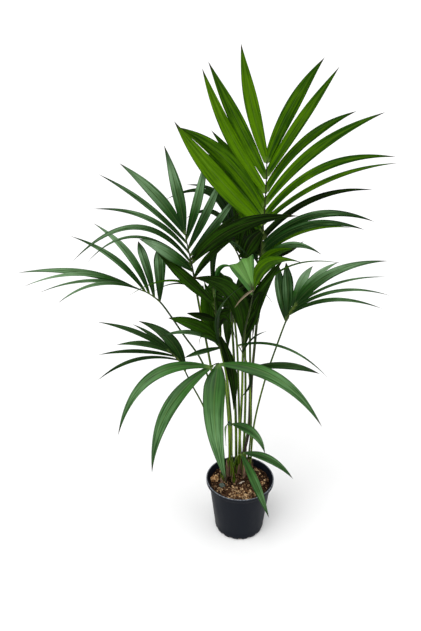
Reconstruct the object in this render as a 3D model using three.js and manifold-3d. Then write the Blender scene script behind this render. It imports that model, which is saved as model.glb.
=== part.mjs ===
// A feather-leaved house palm in a black nursery pot. Seven young palms share the pot, and each
// sends up one to three arching fronds from a brown sheath at its foot. Millimetres, +Z up, the
// pot's axis on the Z axis, z = 0 on the surface that it stands on, and -Y towards the viewer.
import * as THREE from "three";
import { mergeVertices } from "three/addons/utils/BufferGeometryUtils.js";
import Module from "manifold-3d";

const wasm = await Module();
wasm.setup();

// ---- driving dimensions ------------------------------------------------------------------

const POT = {
  rimRadius: 95, // the usual 19 cm nursery pot
  rimDepth: 11,
  rimRoll: 1.6, // the rounding of the rim's edge
  neckRadius: 86.5,
  heelRadius: 70,
  heelHeight: 18,
  footRadius: 64,
  height: 170,
  wall: 2,
  floor: 2.5,
  sides: 40,
};
const NOTCHES = { count: 16, width: 13, height: 4, depth: 9, outward: 2, sides: 8 };
const SOIL = { top: 155, edgeGap: 0.4, rings: 6, sides: 32, bump: 1.3, crown: 4, rimFall: 3 };
// The soil's lumps are the sum of these waves: their turns per millimetre, start and share.
const WAVES = [
  { overX: 0.31, overY: 0.27, start: 1.3, share: 0.8 },
  { overX: 0.17, overY: -0.43, start: 2.1, share: 0.6 },
  { overX: 0.52, overY: 0.21, start: 0.4, share: 0.5 },
];
const SEAT_GAP = 0.3;

const STEM = { buried: 45, footRadius: 5, wall: 1.4, flare: 0.6, cupDepth: 24, sides: 14 };
const PETIOLE = { footRadius: 4.2, topRadius: 3.1, sides: 5, steps: 9 };
const RACHIS = { endRadius: 1.1, sides: 4, steps: 4 };
const BLADE = { steps: 6, thickness: 1.3, thinning: 0.4, fold: 0.09, rootWidth: 5, widestAt: 0.42 };
const ROOTS = { first: 0.04, last: 0.99 }; // the stretch of a rachis that leaflets grow from
const LUMP_RISE = 0.3; // how far a lump's middle lies above the soil, as a share of its half height

// Where the photograph was taken from: the eye in millimetres, how far it looks down, and the
// lens as the distance in pixels to the 421 x 631 frame, whose middle is the last pair.
const EYE = { x: -83, y: -1560, z: 1460, downDegrees: 26.6, focalPixels: 701, middle: [210.5, 315.5] };

// ---- places ------------------------------------------------------------------------------

// The point seen at a pixel of the photograph that lies `back` mm behind the pot's axis.
function seen([px, py], back) {
  const down = THREE.MathUtils.degToRad(EYE.downDegrees);
  const across = (px - EYE.middle[0]) / EYE.focalPixels;
  const above = (EYE.middle[1] - py) / EYE.focalPixels;
  const ray = new THREE.Vector3(
    across,
    Math.cos(down) + above * Math.sin(down),
    above * Math.cos(down) - Math.sin(down),
  );
  const eye = new THREE.Vector3(EYE.x, EYE.y, EYE.z);
  return eye.addScaledVector(ray, (back - EYE.y) / ray.y);
}

// A young palm: where its sheath stands in the soil, how high it reaches above the soil, how far
// from its middle the petioles stand in it, and the radius of the cup that they stand in.
const PALMS = {
  left: { x: -47, y: 0, height: 26, ring: 4.4, bore: 8.4 },
  front: { x: -29, y: 18, height: 66, ring: 4.1, bore: 8.7 },
  young: { x: -17, y: -7, height: 14, ring: 2.8, bore: 5.8 },
  middle: { x: -6, y: 33, height: 34, ring: 4.6, bore: 9.2 },
  centre: { x: 11, y: 13, height: 90, ring: 0, bore: 5 },
  right: { x: 28, y: 34, height: 56, ring: 3.2, bore: 6.6 },
  back: { x: 8, y: 59, height: 44, ring: 4.7, bore: 9.5 },
};

// One leaflet: how far along the rachis it grows, the pixel its midrib passes half-way, the pixel
// of its tip, how far behind the pot's axis the tip lies, its width, its roll in degrees, and
// where along it it is widest if that isn't where its frond's leaflets are.
const leaf = (along, over, tip, back, width, roll = 0, peak = null) => {
  return { along, over, tip, back, width, roll, peak };
};

// Each frond: its palm, the side of the sheath it leaves from in degrees, its petiole's girth
// against the full one, the pixels and depths its petiole and rachis pass, the way its upper side
// faces, how wide its leaflets are at the root and where along them they are widest where these
// aren't the usual ones, and its leaflets.
const FRONDS = {
  crown: {
    palm: "centre",
    from: 0,
    petiole: [[249, 430, 20], [252, 375, 22], [257, 320, 20], [259, 285, 20], [260, 264, 22]],
    rachis: [[262, 235, 28], [265, 205, 38], [267, 160, 52]],
    faces: [0, -0.8, 0.6],
    rootWidth: 15,
    widestAt: 0.46,
    leaflets: [
      leaf(1.0, [251, 100], [241, 43], 40, 32),
      leaf(0.88, [231, 108], [208, 61], 0, 32),
      leaf(0.77, [223, 119], [202, 68], -20, 33),
      leaf(0.66, [230, 153], [211, 130], 60, 29),
      leaf(0.57, [209, 145], [177, 127], -60, 38),
      leaf(0.45, [208, 166], [174, 121], -120, 46, 0, 0.36),
      leaf(0.5, [231, 180], [200, 149], 20, 32),
      leaf(0.3, [241, 207], [226, 190], 90, 34),
      leaf(0.36, [252, 241], [243, 264], -10, 44),
      leaf(0.08, [254, 240], [249, 222], 20, 36),
      leaf(1.0, [287, 115], [325, 57], 60, 33),
      leaf(0.9, [304.5, 115.5], [340, 66], 10, 25),
      leaf(0.78, [305, 141], [357, 111], 70, 22, 0, 0.55),
      leaf(0.68, [318, 148], [386, 112], 10, 25),
      leaf(0.53, [338, 162], [397, 157], -40, 19, 0, 0.5),
      leaf(0.45, [345, 173.5], [399, 163], 20, 12, 20),
      leaf(0.27, [318, 197], [374, 190], 60, 15),
      leaf(0.16, [325, 213.5], [375, 222], -20, 19),
      leaf(0.1, [318, 223.5], [365, 230], -70, 18),
      leaf(0.05, [306, 230.5], [352, 228], 60, 9),
      leaf(0.03, [285, 252], [304, 241], 40, 15),
      leaf(0.0, [297, 245], [322, 255], -70, 16),
    ],
  },
  upper_left: {
    palm: "left",
    from: 30,
    girth: 0.85,
    petiole: [[222, 440, 5], [214, 385, -5], [206, 340, -15], [199, 305, -25], [196, 288, -32]],
    rachis: [[192, 266, -45], [188, 248, -60], [185, 233, -70]],
    faces: [0.1, -0.8, 0.6],
    leaflets: [
      leaf(1.0, [177, 190], [164, 145], -90, 26),
      leaf(0.97, [152, 191], [119, 163], -120, 26),
      leaf(0.77, [142, 201], [98, 174], -150, 13),
      leaf(0.56, [145, 217], [92, 209], -170, 12),
      leaf(0.36, [130, 227.5], [72, 262], -190, 13),
      leaf(0.3, [122, 238.5], [86, 264], -200, 7),
      leaf(0.22, [164, 250], [139, 239], -200, 27),
      leaf(0.86, [198, 198], [207, 154], -20, 22),
      leaf(0.64, [209, 207], [226, 170], 20, 21),
      leaf(0.5, [219, 220], [242, 188], 40, 19),
      leaf(0.42, [219, 229], [241, 212], -50, 13),
      leaf(0.35, [233, 229], [299, 216], -110, 33),
      leaf(0.12, [212, 254], [236, 238], -60, 17),
    ],
  },
  far_left: {
    palm: "left",
    from: 150,
    girth: 0.7,
    petiole: [[220, 440, -5], [204, 366, -15], [183, 334, -25], [161, 303, -35]],
    rachis: [[154, 297, -42], [146, 292, -52], [136, 288, -62]],
    faces: [0.1, -0.5, 0.85],
    leaflets: [
      leaf(1.0, [86, 272.5], [17, 273], -120, 17),
      leaf(0.95, [75, 273.5], [23, 287], -170, 13, 20),
      leaf(0.85, [85, 280.5], [39, 293], -210, 11, 20),
      leaf(0.75, [95, 284], [57, 304], -240, 12, 20),
      leaf(0.68, [112, 256.5], [70, 236], -10, 15),
      leaf(0.52, [128, 253], [93, 223], 40, 18),
      leaf(0.3, [146, 263], [138, 241], 80, 23, 0, 0.72),
      leaf(0.02, [160, 272], [158.5, 245], 100, 30, 0, 0.72),
    ],
  },
  lower_left: {
    palm: "left",
    from: 265,
    girth: 0.62,
    petiole: [[213, 440, -20], [204, 408, -35], [192, 385, -50], [186, 373, -60]],
    rachis: [[182, 364, -70], [176, 357, -78], [169, 351, -88]],
    faces: [0, -0.6, 0.8],
    leaflets: [
      leaf(0.02, [166, 336], [138, 321], -40, 29),
      leaf(0.55, [152, 335], [132, 324], -60, 12),
      leaf(1.0, [141, 334], [97, 322], -110, 13),
      leaf(0.9, [144, 343.5], [116, 345], -150, 15),
      leaf(0.7, [130, 351], [98, 355], -150, 11),
      leaf(0.5, [132, 360.5], [97, 381], -190, 11, 15),
    ],
  },
  front: {
    palm: "front",
    from: 260,
    girth: 0.85,
    petiole: [[229, 430, -12], [227, 402, -60], [224.5, 380, -115]],
    rachis: [[221.5, 368, -135], [217.5, 363.5, -148], [210, 367, -163]],
    faces: [0, -0.6, 0.8],
    rootWidth: 8,
    leaflets: [
      leaf(1.0, [160, 371.5], [118, 436], -240, 27),
      leaf(0.9, [175, 399], [152, 473], -270, 33),
      leaf(0.6, [214, 412], [226.5, 482], -300, 52, 0, 0.22),
      leaf(0.55, [263, 371.5], [322, 427], -230, 31, 0, 0.32),
    ],
  },
  inner_left: {
    palm: "front",
    from: 90,
    petiole: [[231, 430, 20], [229, 400, 5], [226, 372, -10], [221, 350, -20]],
    rachis: [[218, 330, -28], [216, 312, -34], [214, 294, -40]],
    faces: [0, -0.8, 0.6],
    leaflets: [
      leaf(1.0, [226, 241], [254, 262], -60, 16),
      leaf(0.95, [228, 266], [240, 272], -60, 12),
      leaf(0.8, [187, 279], [153, 247], -85, 28),
      leaf(0.7, [172, 280.5], [127, 297], -110, 6),
      leaf(0.6, [176, 283.5], [151, 293], -90, 5),
      leaf(0.0, [208, 318], [203, 284], 20, 30),
      leaf(0.05, [215, 316], [214, 284], 10, 30),
      leaf(0.5, [199, 315.5], [186, 313], -50, 18),
      leaf(0.15, [190, 323], [168, 318], -100, 30),
      leaf(0.05, [186, 332], [159, 337], -110, 12),
      leaf(0.1, [202, 336], [199, 346], -110, 11),
      leaf(0.0, [197, 353], [184, 358], -90, 13),
      leaf(0.02, [221, 308], [245, 285], -150, 13, 20),
      leaf(0.3, [224, 318], [236, 340], -60, 24),
      leaf(0.25, [230.5, 366], [233.5, 411], -60, 26),
    ],
  },
  inner_middle: {
    palm: "middle",
    from: 150,
    petiole: [[236, 430, 32], [235, 395, 26], [234, 360, 18], [232, 322, 8]],
    rachis: [[232, 310, 4], [233, 299, -1], [235, 288, -6]],
    faces: [0, -0.8, 0.6],
    leaflets: [
      leaf(1.0, [243, 281], [243, 268], 30, 26),
      leaf(0.9, [226, 284], [216, 268], 20, 28),
      leaf(0.6, [214, 299], [204, 281], 60, 30),
      leaf(0.5, [247, 296], [255, 324], 40, 28),
      leaf(0.3, [220, 314], [211, 342], 20, 30),
      leaf(0.2, [242, 316], [240, 350], 20, 26),
      leaf(0.8, [250, 284], [262, 268], 70, 24),
    ],
  },
  inner_right: {
    palm: "middle",
    from: 330,
    petiole: [[240, 430, 22], [242, 395, 8], [243, 352, -12]],
    rachis: [[245, 330, -25], [250, 308, -40], [255, 283, -55]],
    faces: [0, -0.8, 0.6],
    leaflets: [
      leaf(0.1, [221, 285], [192, 278], -100, 54),
      leaf(0.0, [259, 296], [284, 259], 0, 37),
      leaf(0.4, [264, 285], [276, 264], 50, 26),
      leaf(0.5, [288, 267], [345, 264], -60, 6, 10),
      leaf(0.9, [272, 262], [303, 263], -130, 33),
      leaf(1.0, [276, 253], [296, 249], -90, 28),
      leaf(0.6, [263, 293], [273, 304], -100, 8),
      leaf(0.85, [238, 264], [254, 292], -150, 38),
      leaf(0.95, [247.5, 259], [254.5, 292], -150, 30),
      leaf(0.92, [243.5, 297], [234, 309], -80, 6, 0, 0.2),
      leaf(0.2, [255, 312], [262, 288], -20, 26),
    ],
  },
  right: {
    palm: "right",
    from: 0,
    girth: 0.7,
    petiole: [[254, 425, 32], [265, 380, 12], [277, 345, -10], [286, 321, -25]],
    rachis: [[289, 315, -28], [293, 309, -30], [297, 303, -32]],
    faces: [0, -0.6, 0.8],
    rootWidth: 9,
    widestAt: 0.34,
    leaflets: [
      leaf(0.0, [281, 294], [279, 266], 60, 26, 0, 0.66),
      leaf(0.1, [288, 290], [286, 262], 60, 28, 0, 0.6),
      leaf(0.7, [301, 283], [313, 266], 80, 24, 0, 0.55),
      leaf(0.9, [314, 278], [339, 262], 50, 19),
      leaf(0.4, [322, 279], [389, 261], -20, 23),
      leaf(0.8, [335, 284], [389, 277], -70, 7, 25),
      leaf(0.6, [345, 290], [391, 296], -120, 9, 15),
      leaf(0.4, [335, 299.5], [383, 309], -160, 11),
    ],
  },
  low_right: {
    palm: "right",
    from: 180,
    girth: 0.65,
    petiole: [[251, 430, 0], [251, 400, -8], [249, 374, -16]],
    rachis: [[247, 363, -25], [243, 354, -32], [238, 345, -40]],
    faces: [0, -0.4, 0.9],
    leaflets: [
      leaf(1.0, [283, 347], [328, 378], -150, 7, 20),
      leaf(0.1, [287, 365], [320, 374], -120, 24),
      leaf(0.7, [253, 338], [268, 331], 0, 5),
      leaf(0.15, [251, 379], [240, 398], -60, 7),
    ],
  },
  small_high: {
    palm: "young",
    from: 110,
    girth: 0.6,
    petiole: [[232, 455, -15], [232, 440, -40]],
    rachis: [[232, 432, -55], [232, 427, -65], [232, 424, -75]],
    faces: [0, -0.7, 0.7],
    leaflets: [
      leaf(1.0, [252, 431.5], [265, 454], -110, 24, 0, 0.34),
      leaf(0.8, [227, 425], [226, 447], -140, 17),
    ],
  },
  small_low: {
    palm: "young",
    from: 310,
    girth: 0.6,
    petiole: [[233, 468, -25], [236, 459, -35]],
    rachis: [[238, 456, -42], [240, 454, -48], [243, 453, -54]],
    faces: [0, -0.7, 0.7],
    leaflets: [
      leaf(1.0, [266, 457.5], [293, 479], -100, 21),
      leaf(0.8, [254, 480], [269, 518], -130, 24),
    ],
  },
  back_left: {
    palm: "back",
    from: 310,
    girth: 0.9,
    petiole: [[244.5, 430, 62], [245.5, 390, 66], [245, 345, 72], [244, 300, 84], [242, 268, 98]],
    rachis: [[239, 257, 106], [235, 249, 112], [232, 243, 118]],
    faces: [0.2, -0.7, 0.7],
    leaflets: [
      leaf(1.0, [203, 191], [165, 200], 60, 15),
      leaf(0.9, [210, 188.5], [185, 185], 140, 14),
      leaf(0.7, [207, 211], [185, 219], 40, 13),
      leaf(0.8, [225, 197], [218, 168], 240, 30),
      leaf(0.3, [254, 232], [258, 212], 130, 30),
      leaf(0.1, [257, 248], [262, 232], 120, 26),
    ],
  },
  back_right: {
    palm: "back",
    from: 70,
    girth: 0.9,
    petiole: [[248, 430, 78], [250, 385, 88], [250, 340, 98], [250, 300, 112], [246, 270, 128]],
    rachis: [[243, 259, 136], [240, 250, 144], [237, 243, 150]],
    faces: [0, -0.8, 0.6],
    leaflets: [
      leaf(1.0, [236, 208], [238, 178], 240, 34),
      leaf(0.8, [248, 222], [252, 200], 250, 34),
      leaf(0.6, [256, 240], [264, 222], 240, 30),
      leaf(0.5, [230, 232], [221, 218], 230, 30),
      leaf(0.2, [252, 252], [258, 266], 140, 28),
    ],
  },
  back: {
    palm: "back",
    from: 190,
    girth: 0.9,
    petiole: [[239.5, 430, 70], [238.5, 390, 82], [237, 345, 94], [233, 308, 106]],
    rachis: [[231, 298, 111], [232, 291, 115], [234, 284, 119]],
    faces: [0, -0.8, 0.6],
    leaflets: [
      leaf(1.0, [221, 290], [207, 330], 160, 38),
      leaf(0.95, [230, 300], [228, 350], 170, 38),
      leaf(0.9, [248, 296], [252, 340], 200, 38),
      leaf(0.6, [214, 284], [203, 300], 160, 34),
      leaf(0.5, [254, 298], [256, 330], 190, 32),
      leaf(0.8, [226, 280], [214, 276], 150, 30),
      leaf(0.2, [250, 286], [264, 276], 205, 28),
    ],
  },
};

// What lies half sunk on the soil: its pixel, its depth, its half sizes, its turn in degrees, and
// whether it is large enough to need fine faces.
const LUMPS = {
  bark_lump: { at: [215, 478], back: 6, half: [12, 10, 11], turn: 20, fine: true },
  grey_pebble: { at: [222, 488], back: -22, half: [9, 7, 7], turn: -30, fine: true },
  pale_twig: { at: [241, 484], back: -11, half: [12, 2.6, 2.4], turn: 32 },
  small_lump: { at: [262, 484], back: -10, half: [7, 6, 5.5], turn: 60 },
};

// ---- solids ------------------------------------------------------------------------------

function solidFrom(geometry) {
  const bare = geometry.index ? geometry.toNonIndexed() : geometry.clone();
  bare.deleteAttribute("normal");
  bare.deleteAttribute("uv");
  const merged = mergeVertices(bare, 1e-3);
  return new wasm.Manifold(
    new wasm.Mesh({
      numProp: 3,
      vertProperties: merged.attributes.position.array,
      triVerts: new Uint32Array(merged.index.array),
    }),
  );
}

function geometryOf(solid) {
  const mesh = solid.getMesh();
  return new THREE.BufferGeometry()
    .setAttribute("position", new THREE.BufferAttribute(mesh.vertProperties, 3))
    .setIndex(new THREE.BufferAttribute(mesh.triVerts, 1));
}

const unite = (solids) => wasm.Manifold.union(solids);

// A solid of revolution about Z from [radius, height] pairs that start and end on the axis.
function turned(profile, sides) {
  const points = profile.map(([radius, height]) => new THREE.Vector2(radius, height));
  return solidFrom(new THREE.LatheGeometry(points, sides).rotateX(Math.PI / 2));
}

// A closed skin over rings of points. Each ring joins the next with its squares split by turns
// one way and the other, so that a blade's top and underside are split alike. The first and last
// rings are capped, or a last ring of one point ends the skin in a tip.
function skin(rings) {
  const starts = [];
  let count = 0;
  for (const ring of rings) {
    starts.push(count);
    count += ring.length;
  }
  const faces = [];
  const around = rings[0].length;
  for (let r = 0; r + 1 < rings.length; r++) {
    for (let k = 0; k < around; k++) {
      const next = (k + 1) % around;
      const [a, b] = [starts[r] + k, starts[r] + next];
      if (rings[r + 1].length === 1) {
        faces.push(a, b, starts[r + 1]);
        continue;
      }
      const [c, d] = [starts[r + 1] + k, starts[r + 1] + next];
      if (k % 2 === 0) faces.push(a, b, d, a, d, c);
      else faces.push(a, b, c, b, d, c);
    }
  }
  for (let k = 1; k + 1 < around; k++) faces.push(starts[0], starts[0] + k + 1, starts[0] + k);
  const last = starts.at(-1);
  if (rings.at(-1).length > 1) {
    for (let k = 1; k + 1 < around; k++) faces.push(last, last + k, last + k + 1);
  }
  const points = rings.flat().flatMap((point) => point.toArray());
  return new THREE.BufferGeometry()
    .setAttribute("position", new THREE.Float32BufferAttribute(points, 3))
    .setIndex(faces);
}

// Points, tangents and untwisted normals along a curve between two of its parameters.
function framesAlong(curve, from, to, steps, startNormal) {
  const frames = [];
  const normal = startNormal.clone();
  for (let i = 0; i <= steps; i++) {
    const t = THREE.MathUtils.lerp(from, to, i / steps);
    const tangent = curve.getTangent(t).normalize();
    normal.addScaledVector(tangent, -normal.dot(tangent)).normalize();
    const side = new THREE.Vector3().crossVectors(tangent, normal);
    frames.push({ point: curve.getPoint(t), tangent, normal: normal.clone(), side });
  }
  return frames;
}

// A tapering stalk with a polygon section along part of a curve.
function stalk(curve, from, to, startRadius, endRadius, sides, steps) {
  const toViewer = new THREE.Vector3(0, -1, 0);
  const frames = framesAlong(curve, from, to, steps, toViewer);
  const rings = frames.map(({ point, normal, side }, i) => {
    const radius = THREE.MathUtils.lerp(startRadius, endRadius, i / steps);
    return Array.from({ length: sides }, (_, k) => {
      const angle = (2 * Math.PI * k) / sides;
      return point
        .clone()
        .addScaledVector(side, radius * Math.cos(angle))
        .addScaledVector(normal, -radius * Math.sin(angle));
    });
  });
  return skin(rings);
}

// How wide a leaflet is at s, from its root at 0 to its tip at 1: a lance with a narrow root.
function widthAt(s, rootWidth, width, peak) {
  const rise = Math.sin((Math.PI / 2) * Math.min(s / peak, 1));
  const fall = Math.cos((Math.PI / 2) * Math.max((s - peak) / (1 - peak), 0));
  return s < peak ? THREE.MathUtils.lerp(rootWidth, width, rise) : width * fall;
}

// A midrib: the parabola from root to tip that passes a point on its way.
function midrib(root, over, tip) {
  const reach = root.distanceTo(over);
  const share = reach / (reach + over.distanceTo(tip));
  const bend = over
    .clone()
    .addScaledVector(root, -((1 - share) ** 2))
    .addScaledVector(tip, -(share ** 2))
    .divideScalar(2 * share * (1 - share));
  return new THREE.QuadraticBezierCurve3(root, bend, tip);
}

// A leaflet's blade: a thin tent that's folded along its midrib and closes to a point.
function blade(curve, faces, rootWidth, width, rollDegrees, peak) {
  const roll = THREE.MathUtils.degToRad(rollDegrees);
  const frames = framesAlong(curve, 0, 1, BLADE.steps, faces);
  const rings = frames.map(({ point, tangent, normal, side }, i) => {
    const s = i / BLADE.steps;
    if (i === BLADE.steps) return [point];
    const half = widthAt(s, rootWidth, width, peak) / 2;
    const across = side.clone().applyAxisAngle(tangent, roll);
    const out = normal.clone().applyAxisAngle(tangent, roll);
    const fold = 2 * half * BLADE.fold;
    const thick = BLADE.thickness * (1 - BLADE.thinning * s);
    return [
      point.clone().addScaledVector(across, half).addScaledVector(out, -fold),
      point.clone().addScaledVector(out, -thick / 2),
      point.clone().addScaledVector(across, -half).addScaledVector(out, -fold),
      point.clone().addScaledVector(out, thick / 2),
    ];
  });
  return skin(rings);
}

// ---- the pieces --------------------------------------------------------------------------

// The pot's outer radius at a height: a tapering wall over a heel that rounds in to the foot.
function potRadius(z) {
  const { footRadius, heelRadius, heelHeight, neckRadius, height, rimDepth } = POT;
  if (z >= heelHeight) {
    const share = (z - heelHeight) / (height - rimDepth - heelHeight);
    return THREE.MathUtils.lerp(heelRadius, neckRadius, share);
  }
  const drop = 1 - z / heelHeight;
  return footRadius + (heelRadius - footRadius) * Math.sqrt(1 - drop * drop);
}

// A blow-moulded pot with a rolled rim and drain notches under its heel.
function makePot() {
  const { rimRadius, height, wall, floor } = POT;
  const rimFoot = height - POT.rimDepth;
  const roll = POT.rimRoll;
  const levels = [floor, POT.heelHeight / 3, POT.heelHeight, rimFoot];
  const shell = turned(
    [
      [0, 0],
      [potRadius(0), 0],
      ...levels.slice(1).map((z) => [potRadius(z), z]),
      [rimRadius - 0.4 * roll, rimFoot + 0.8 * roll],
      [rimRadius, height - roll],
      [rimRadius - 0.9 * roll, height],
      [rimRadius - 1.8 * roll, height],
      [rimRadius - 2.5 * roll, height - roll],
      ...levels.toReversed().map((z) => [potRadius(z) - wall, z]),
      [0, floor],
    ],
    POT.sides,
  );
  const notches = Array.from({ length: NOTCHES.count }, (_, k) => {
    const radius = NOTCHES.width / 2;
    const slot = new THREE.CylinderGeometry(radius, radius, NOTCHES.depth, NOTCHES.sides);
    slot.scale(1, 1, NOTCHES.height / radius);
    slot.translate(0, POT.footRadius + NOTCHES.outward, 0);
    slot.rotateZ((2 * Math.PI * (k + 0.5)) / NOTCHES.count);
    return solidFrom(slot);
  });
  return shell.subtract(unite(notches));
}

// The height of the soil at a place: a low mound with lumps on it that falls off at the rim.
function soilHeight(x, y) {
  const out = Math.hypot(x, y) / (potRadius(SOIL.top) - POT.wall);
  const lumps = WAVES.reduce(
    (sum, wave) => sum + wave.share * Math.sin(wave.overX * x + wave.overY * y + wave.start),
    0,
  );
  return SOIL.top + SOIL.crown * (1 - out * out) - SOIL.rimFall * out ** 6 + SOIL.bump * lumps;
}

// The soil: it fills the pot a hair inside the wall, and its top is raised by the formula above.
function makeSoil() {
  const ringOf = (radius, heightOf) =>
    Array.from({ length: SOIL.sides }, (_, k) => {
      const angle = (2 * Math.PI * k) / SOIL.sides;
      const [x, y] = [radius * Math.sin(angle), -radius * Math.cos(angle)];
      return new THREE.Vector3(x, y, heightOf(x, y));
    });
  const inside = (z) => potRadius(z) - POT.wall - SOIL.edgeGap;
  const levels = [POT.floor + SEAT_GAP, POT.heelHeight / 3, POT.heelHeight];
  const rings = levels.map((z) => ringOf(inside(z), () => z));
  const edge = inside(SOIL.top - SOIL.rimFall - 2 * SOIL.bump);
  for (let r = SOIL.rings; r >= 1; r--) rings.push(ringOf((edge * r) / SOIL.rings, soilHeight));
  rings.push([new THREE.Vector3(0, 0, soilHeight(0, 0))]);
  return solidFrom(skin(rings));
}

// A palm's sheath: a stem sunk in the soil whose top is a cup that its petioles stand in. Grown
// by a gap it is the whole block, without the cup, that is cut out of the soil.
function makeSheath(palm, grow = 0) {
  const outer = palm.bore + STEM.wall + grow;
  const [bottom, top] = [SOIL.top - STEM.buried - grow, SOIL.top + palm.height];
  const body = turned(
    [
      [0, bottom],
      [STEM.footRadius + grow, bottom],
      [outer + STEM.flare, SOIL.top],
      [outer, top],
      [0, top],
    ],
    STEM.sides,
  );
  if (grow > 0) return body.translate([palm.x, palm.y, 0]);
  const cup = new THREE.CylinderGeometry(palm.bore, palm.bore, 2 * STEM.cupDepth, STEM.sides);
  cup.rotateX(Math.PI / 2).translate(0, 0, top);
  return body.subtract(solidFrom(cup)).translate([palm.x, palm.y, 0]);
}

// A stone or crumb: a ball of few faces, pressed out of round, that lies half sunk in the soil.
function makeLump({ at, back, half, turn, fine }, grow = 0) {
  const ball = new THREE.IcosahedronGeometry(1, fine ? 1 : 0);
  const place = seen(at, back);
  ball.scale(...half.map((size) => size + grow));
  ball.rotateZ(THREE.MathUtils.degToRad(turn));
  ball.translate(place.x, place.y, soilHeight(place.x, place.y) + LUMP_RISE * half[2]);
  return solidFrom(ball);
}

const STEP = 0.001; // a small step of a curve's parameter

// One smooth line from a petiole's foot in its sheath to the end of the frond's rachis, with the
// two parameters on it where the petiole ends and the blade starts.
function spine(frond) {
  const palm = PALMS[frond.palm];
  const angle = THREE.MathUtils.degToRad(frond.from);
  const x = palm.x + palm.ring * Math.cos(angle);
  const y = palm.y + palm.ring * Math.sin(angle);
  const mouth = new THREE.Vector3(x, y, SOIL.top + palm.height);
  const foot = mouth.clone().setZ(mouth.z - STEM.cupDepth + SEAT_GAP);
  const route = [...frond.petiole, ...frond.rachis].map(([px, py, back]) => seen([px, py], back));
  const curve = new THREE.CatmullRomCurve3([foot, mouth, ...route], false, "centripetal");
  const joint = (frond.petiole.length + 1) / (route.length + 1);
  const speed = curve.getPoint(joint - STEP).distanceTo(curve.getPoint(joint + STEP)) / (2 * STEP);
  const gap = SEAT_GAP / 2 / speed;
  return { curve, petioleEnd: joint - gap, bladeStart: joint + gap };
}

function makePetiole(frond) {
  const { curve, petioleEnd } = spine(frond);
  const girth = frond.girth ?? 1;
  const [foot, top] = [girth * PETIOLE.footRadius, girth * PETIOLE.topRadius];
  return solidFrom(stalk(curve, 0, petioleEnd, foot, top, PETIOLE.sides, PETIOLE.steps));
}

function makeBlade(frond) {
  const { curve, bladeStart } = spine(frond);
  const faces = new THREE.Vector3(...frond.faces).normalize();
  const start = (frond.girth ?? 1) * PETIOLE.topRadius;
  const { endRadius, sides, steps } = RACHIS;
  const pieces = [solidFrom(stalk(curve, bladeStart, 1, start, endRadius, sides, steps))];
  for (const { along, over, tip, back, width, roll, peak } of frond.leaflets) {
    const inward = THREE.MathUtils.lerp(ROOTS.first, ROOTS.last, along);
    const root = curve.getPoint(THREE.MathUtils.lerp(bladeStart, 1, inward));
    const line = midrib(root, seen(over, (root.y + back) / 2), seen(tip, back));
    const rootWidth = Math.min(frond.rootWidth ?? BLADE.rootWidth, width);
    const widest = peak ?? frond.widestAt ?? BLADE.widestAt;
    pieces.push(solidFrom(blade(line, faces, rootWidth, width, roll, widest)));
  }
  return unite(pieces);
}

// ---- the plant ---------------------------------------------------------------------------

const finish = (color, roughness) => new THREE.MeshStandardMaterial({ color, roughness, metalness: 0 });
const FINISHES = {
  pot: finish("#23262b", 0.6),
  soil: finish("#5b3d28", 0.95),
  stone: finish("#a8805a", 0.9),
  twig: finish("#b9a48c", 0.8),
  sheath: finish("#6b5236", 0.9),
  petiole: finish("#6b8a2a", 0.5),
  crown: finish("#4f8a1c", 0.45),
  leaf: finish("#2f6b2a", 0.45),
};

const plant = new THREE.Group();

function addNode(name, solid, material) {
  const mesh = new THREE.Mesh(geometryOf(solid), material);
  mesh.name = name;
  plant.add(mesh);
}

addNode("pot", makePot(), FINISHES.pot);

const bedded = [
  ...Object.values(PALMS).map((palm) => makeSheath(palm, SEAT_GAP)),
  ...Object.values(LUMPS).map((lump) => makeLump(lump, SEAT_GAP)),
];
addNode("soil", makeSoil().subtract(unite(bedded)), FINISHES.soil);

for (const [name, lump] of Object.entries(LUMPS)) {
  addNode(name, makeLump(lump), name === "pale_twig" ? FINISHES.twig : FINISHES.stone);
}
for (const [name, palm] of Object.entries(PALMS)) {
  addNode(name + "_sheath", makeSheath(palm), FINISHES.sheath);
}
for (const [name, frond] of Object.entries(FRONDS)) {
  addNode(name + "_petiole", makePetiole(frond), FINISHES.petiole);
  addNode(name + "_frond", makeBlade(frond), name === "crown" ? FINISHES.crown : FINISHES.leaf);
}

export default plant;
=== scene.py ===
"""The looks of a potted feather palm, seven young palms in one black nursery pot.

The tables of places are in millimetres and in pixels of the 421 x 631 photograph, as the part's
source has them. Shapes are worked out in millimetres and written into meshes in metres.
"""

from typing import NamedTuple

import bpy
import numpy as np
from bpy.props import FloatProperty, FloatVectorProperty, IntProperty, PointerProperty
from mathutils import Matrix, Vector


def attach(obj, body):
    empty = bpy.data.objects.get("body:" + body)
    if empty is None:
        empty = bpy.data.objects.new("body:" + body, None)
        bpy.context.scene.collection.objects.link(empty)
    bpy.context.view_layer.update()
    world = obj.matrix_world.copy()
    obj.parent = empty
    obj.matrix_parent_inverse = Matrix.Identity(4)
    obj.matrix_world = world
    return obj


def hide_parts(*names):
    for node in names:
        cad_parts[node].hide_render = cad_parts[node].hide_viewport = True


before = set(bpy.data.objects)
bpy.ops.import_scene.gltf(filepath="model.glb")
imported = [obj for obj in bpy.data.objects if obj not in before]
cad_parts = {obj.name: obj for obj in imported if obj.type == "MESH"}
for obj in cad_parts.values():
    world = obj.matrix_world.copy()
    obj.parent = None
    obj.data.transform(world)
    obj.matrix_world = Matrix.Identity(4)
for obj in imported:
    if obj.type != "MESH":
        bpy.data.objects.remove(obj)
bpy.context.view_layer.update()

bl_info = {
    "name": "Potted Feather Palm",
    "version": (1, 0, 0),
    "blender": (4, 5, 0),
    "location": "View3D > Sidebar > Palm",
    "description": "Dresses the packed frame of a potted palm with leaves, stalks, soil and pot",
    "category": "Add Mesh",
}

MILLIMETRE = 0.001

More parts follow.
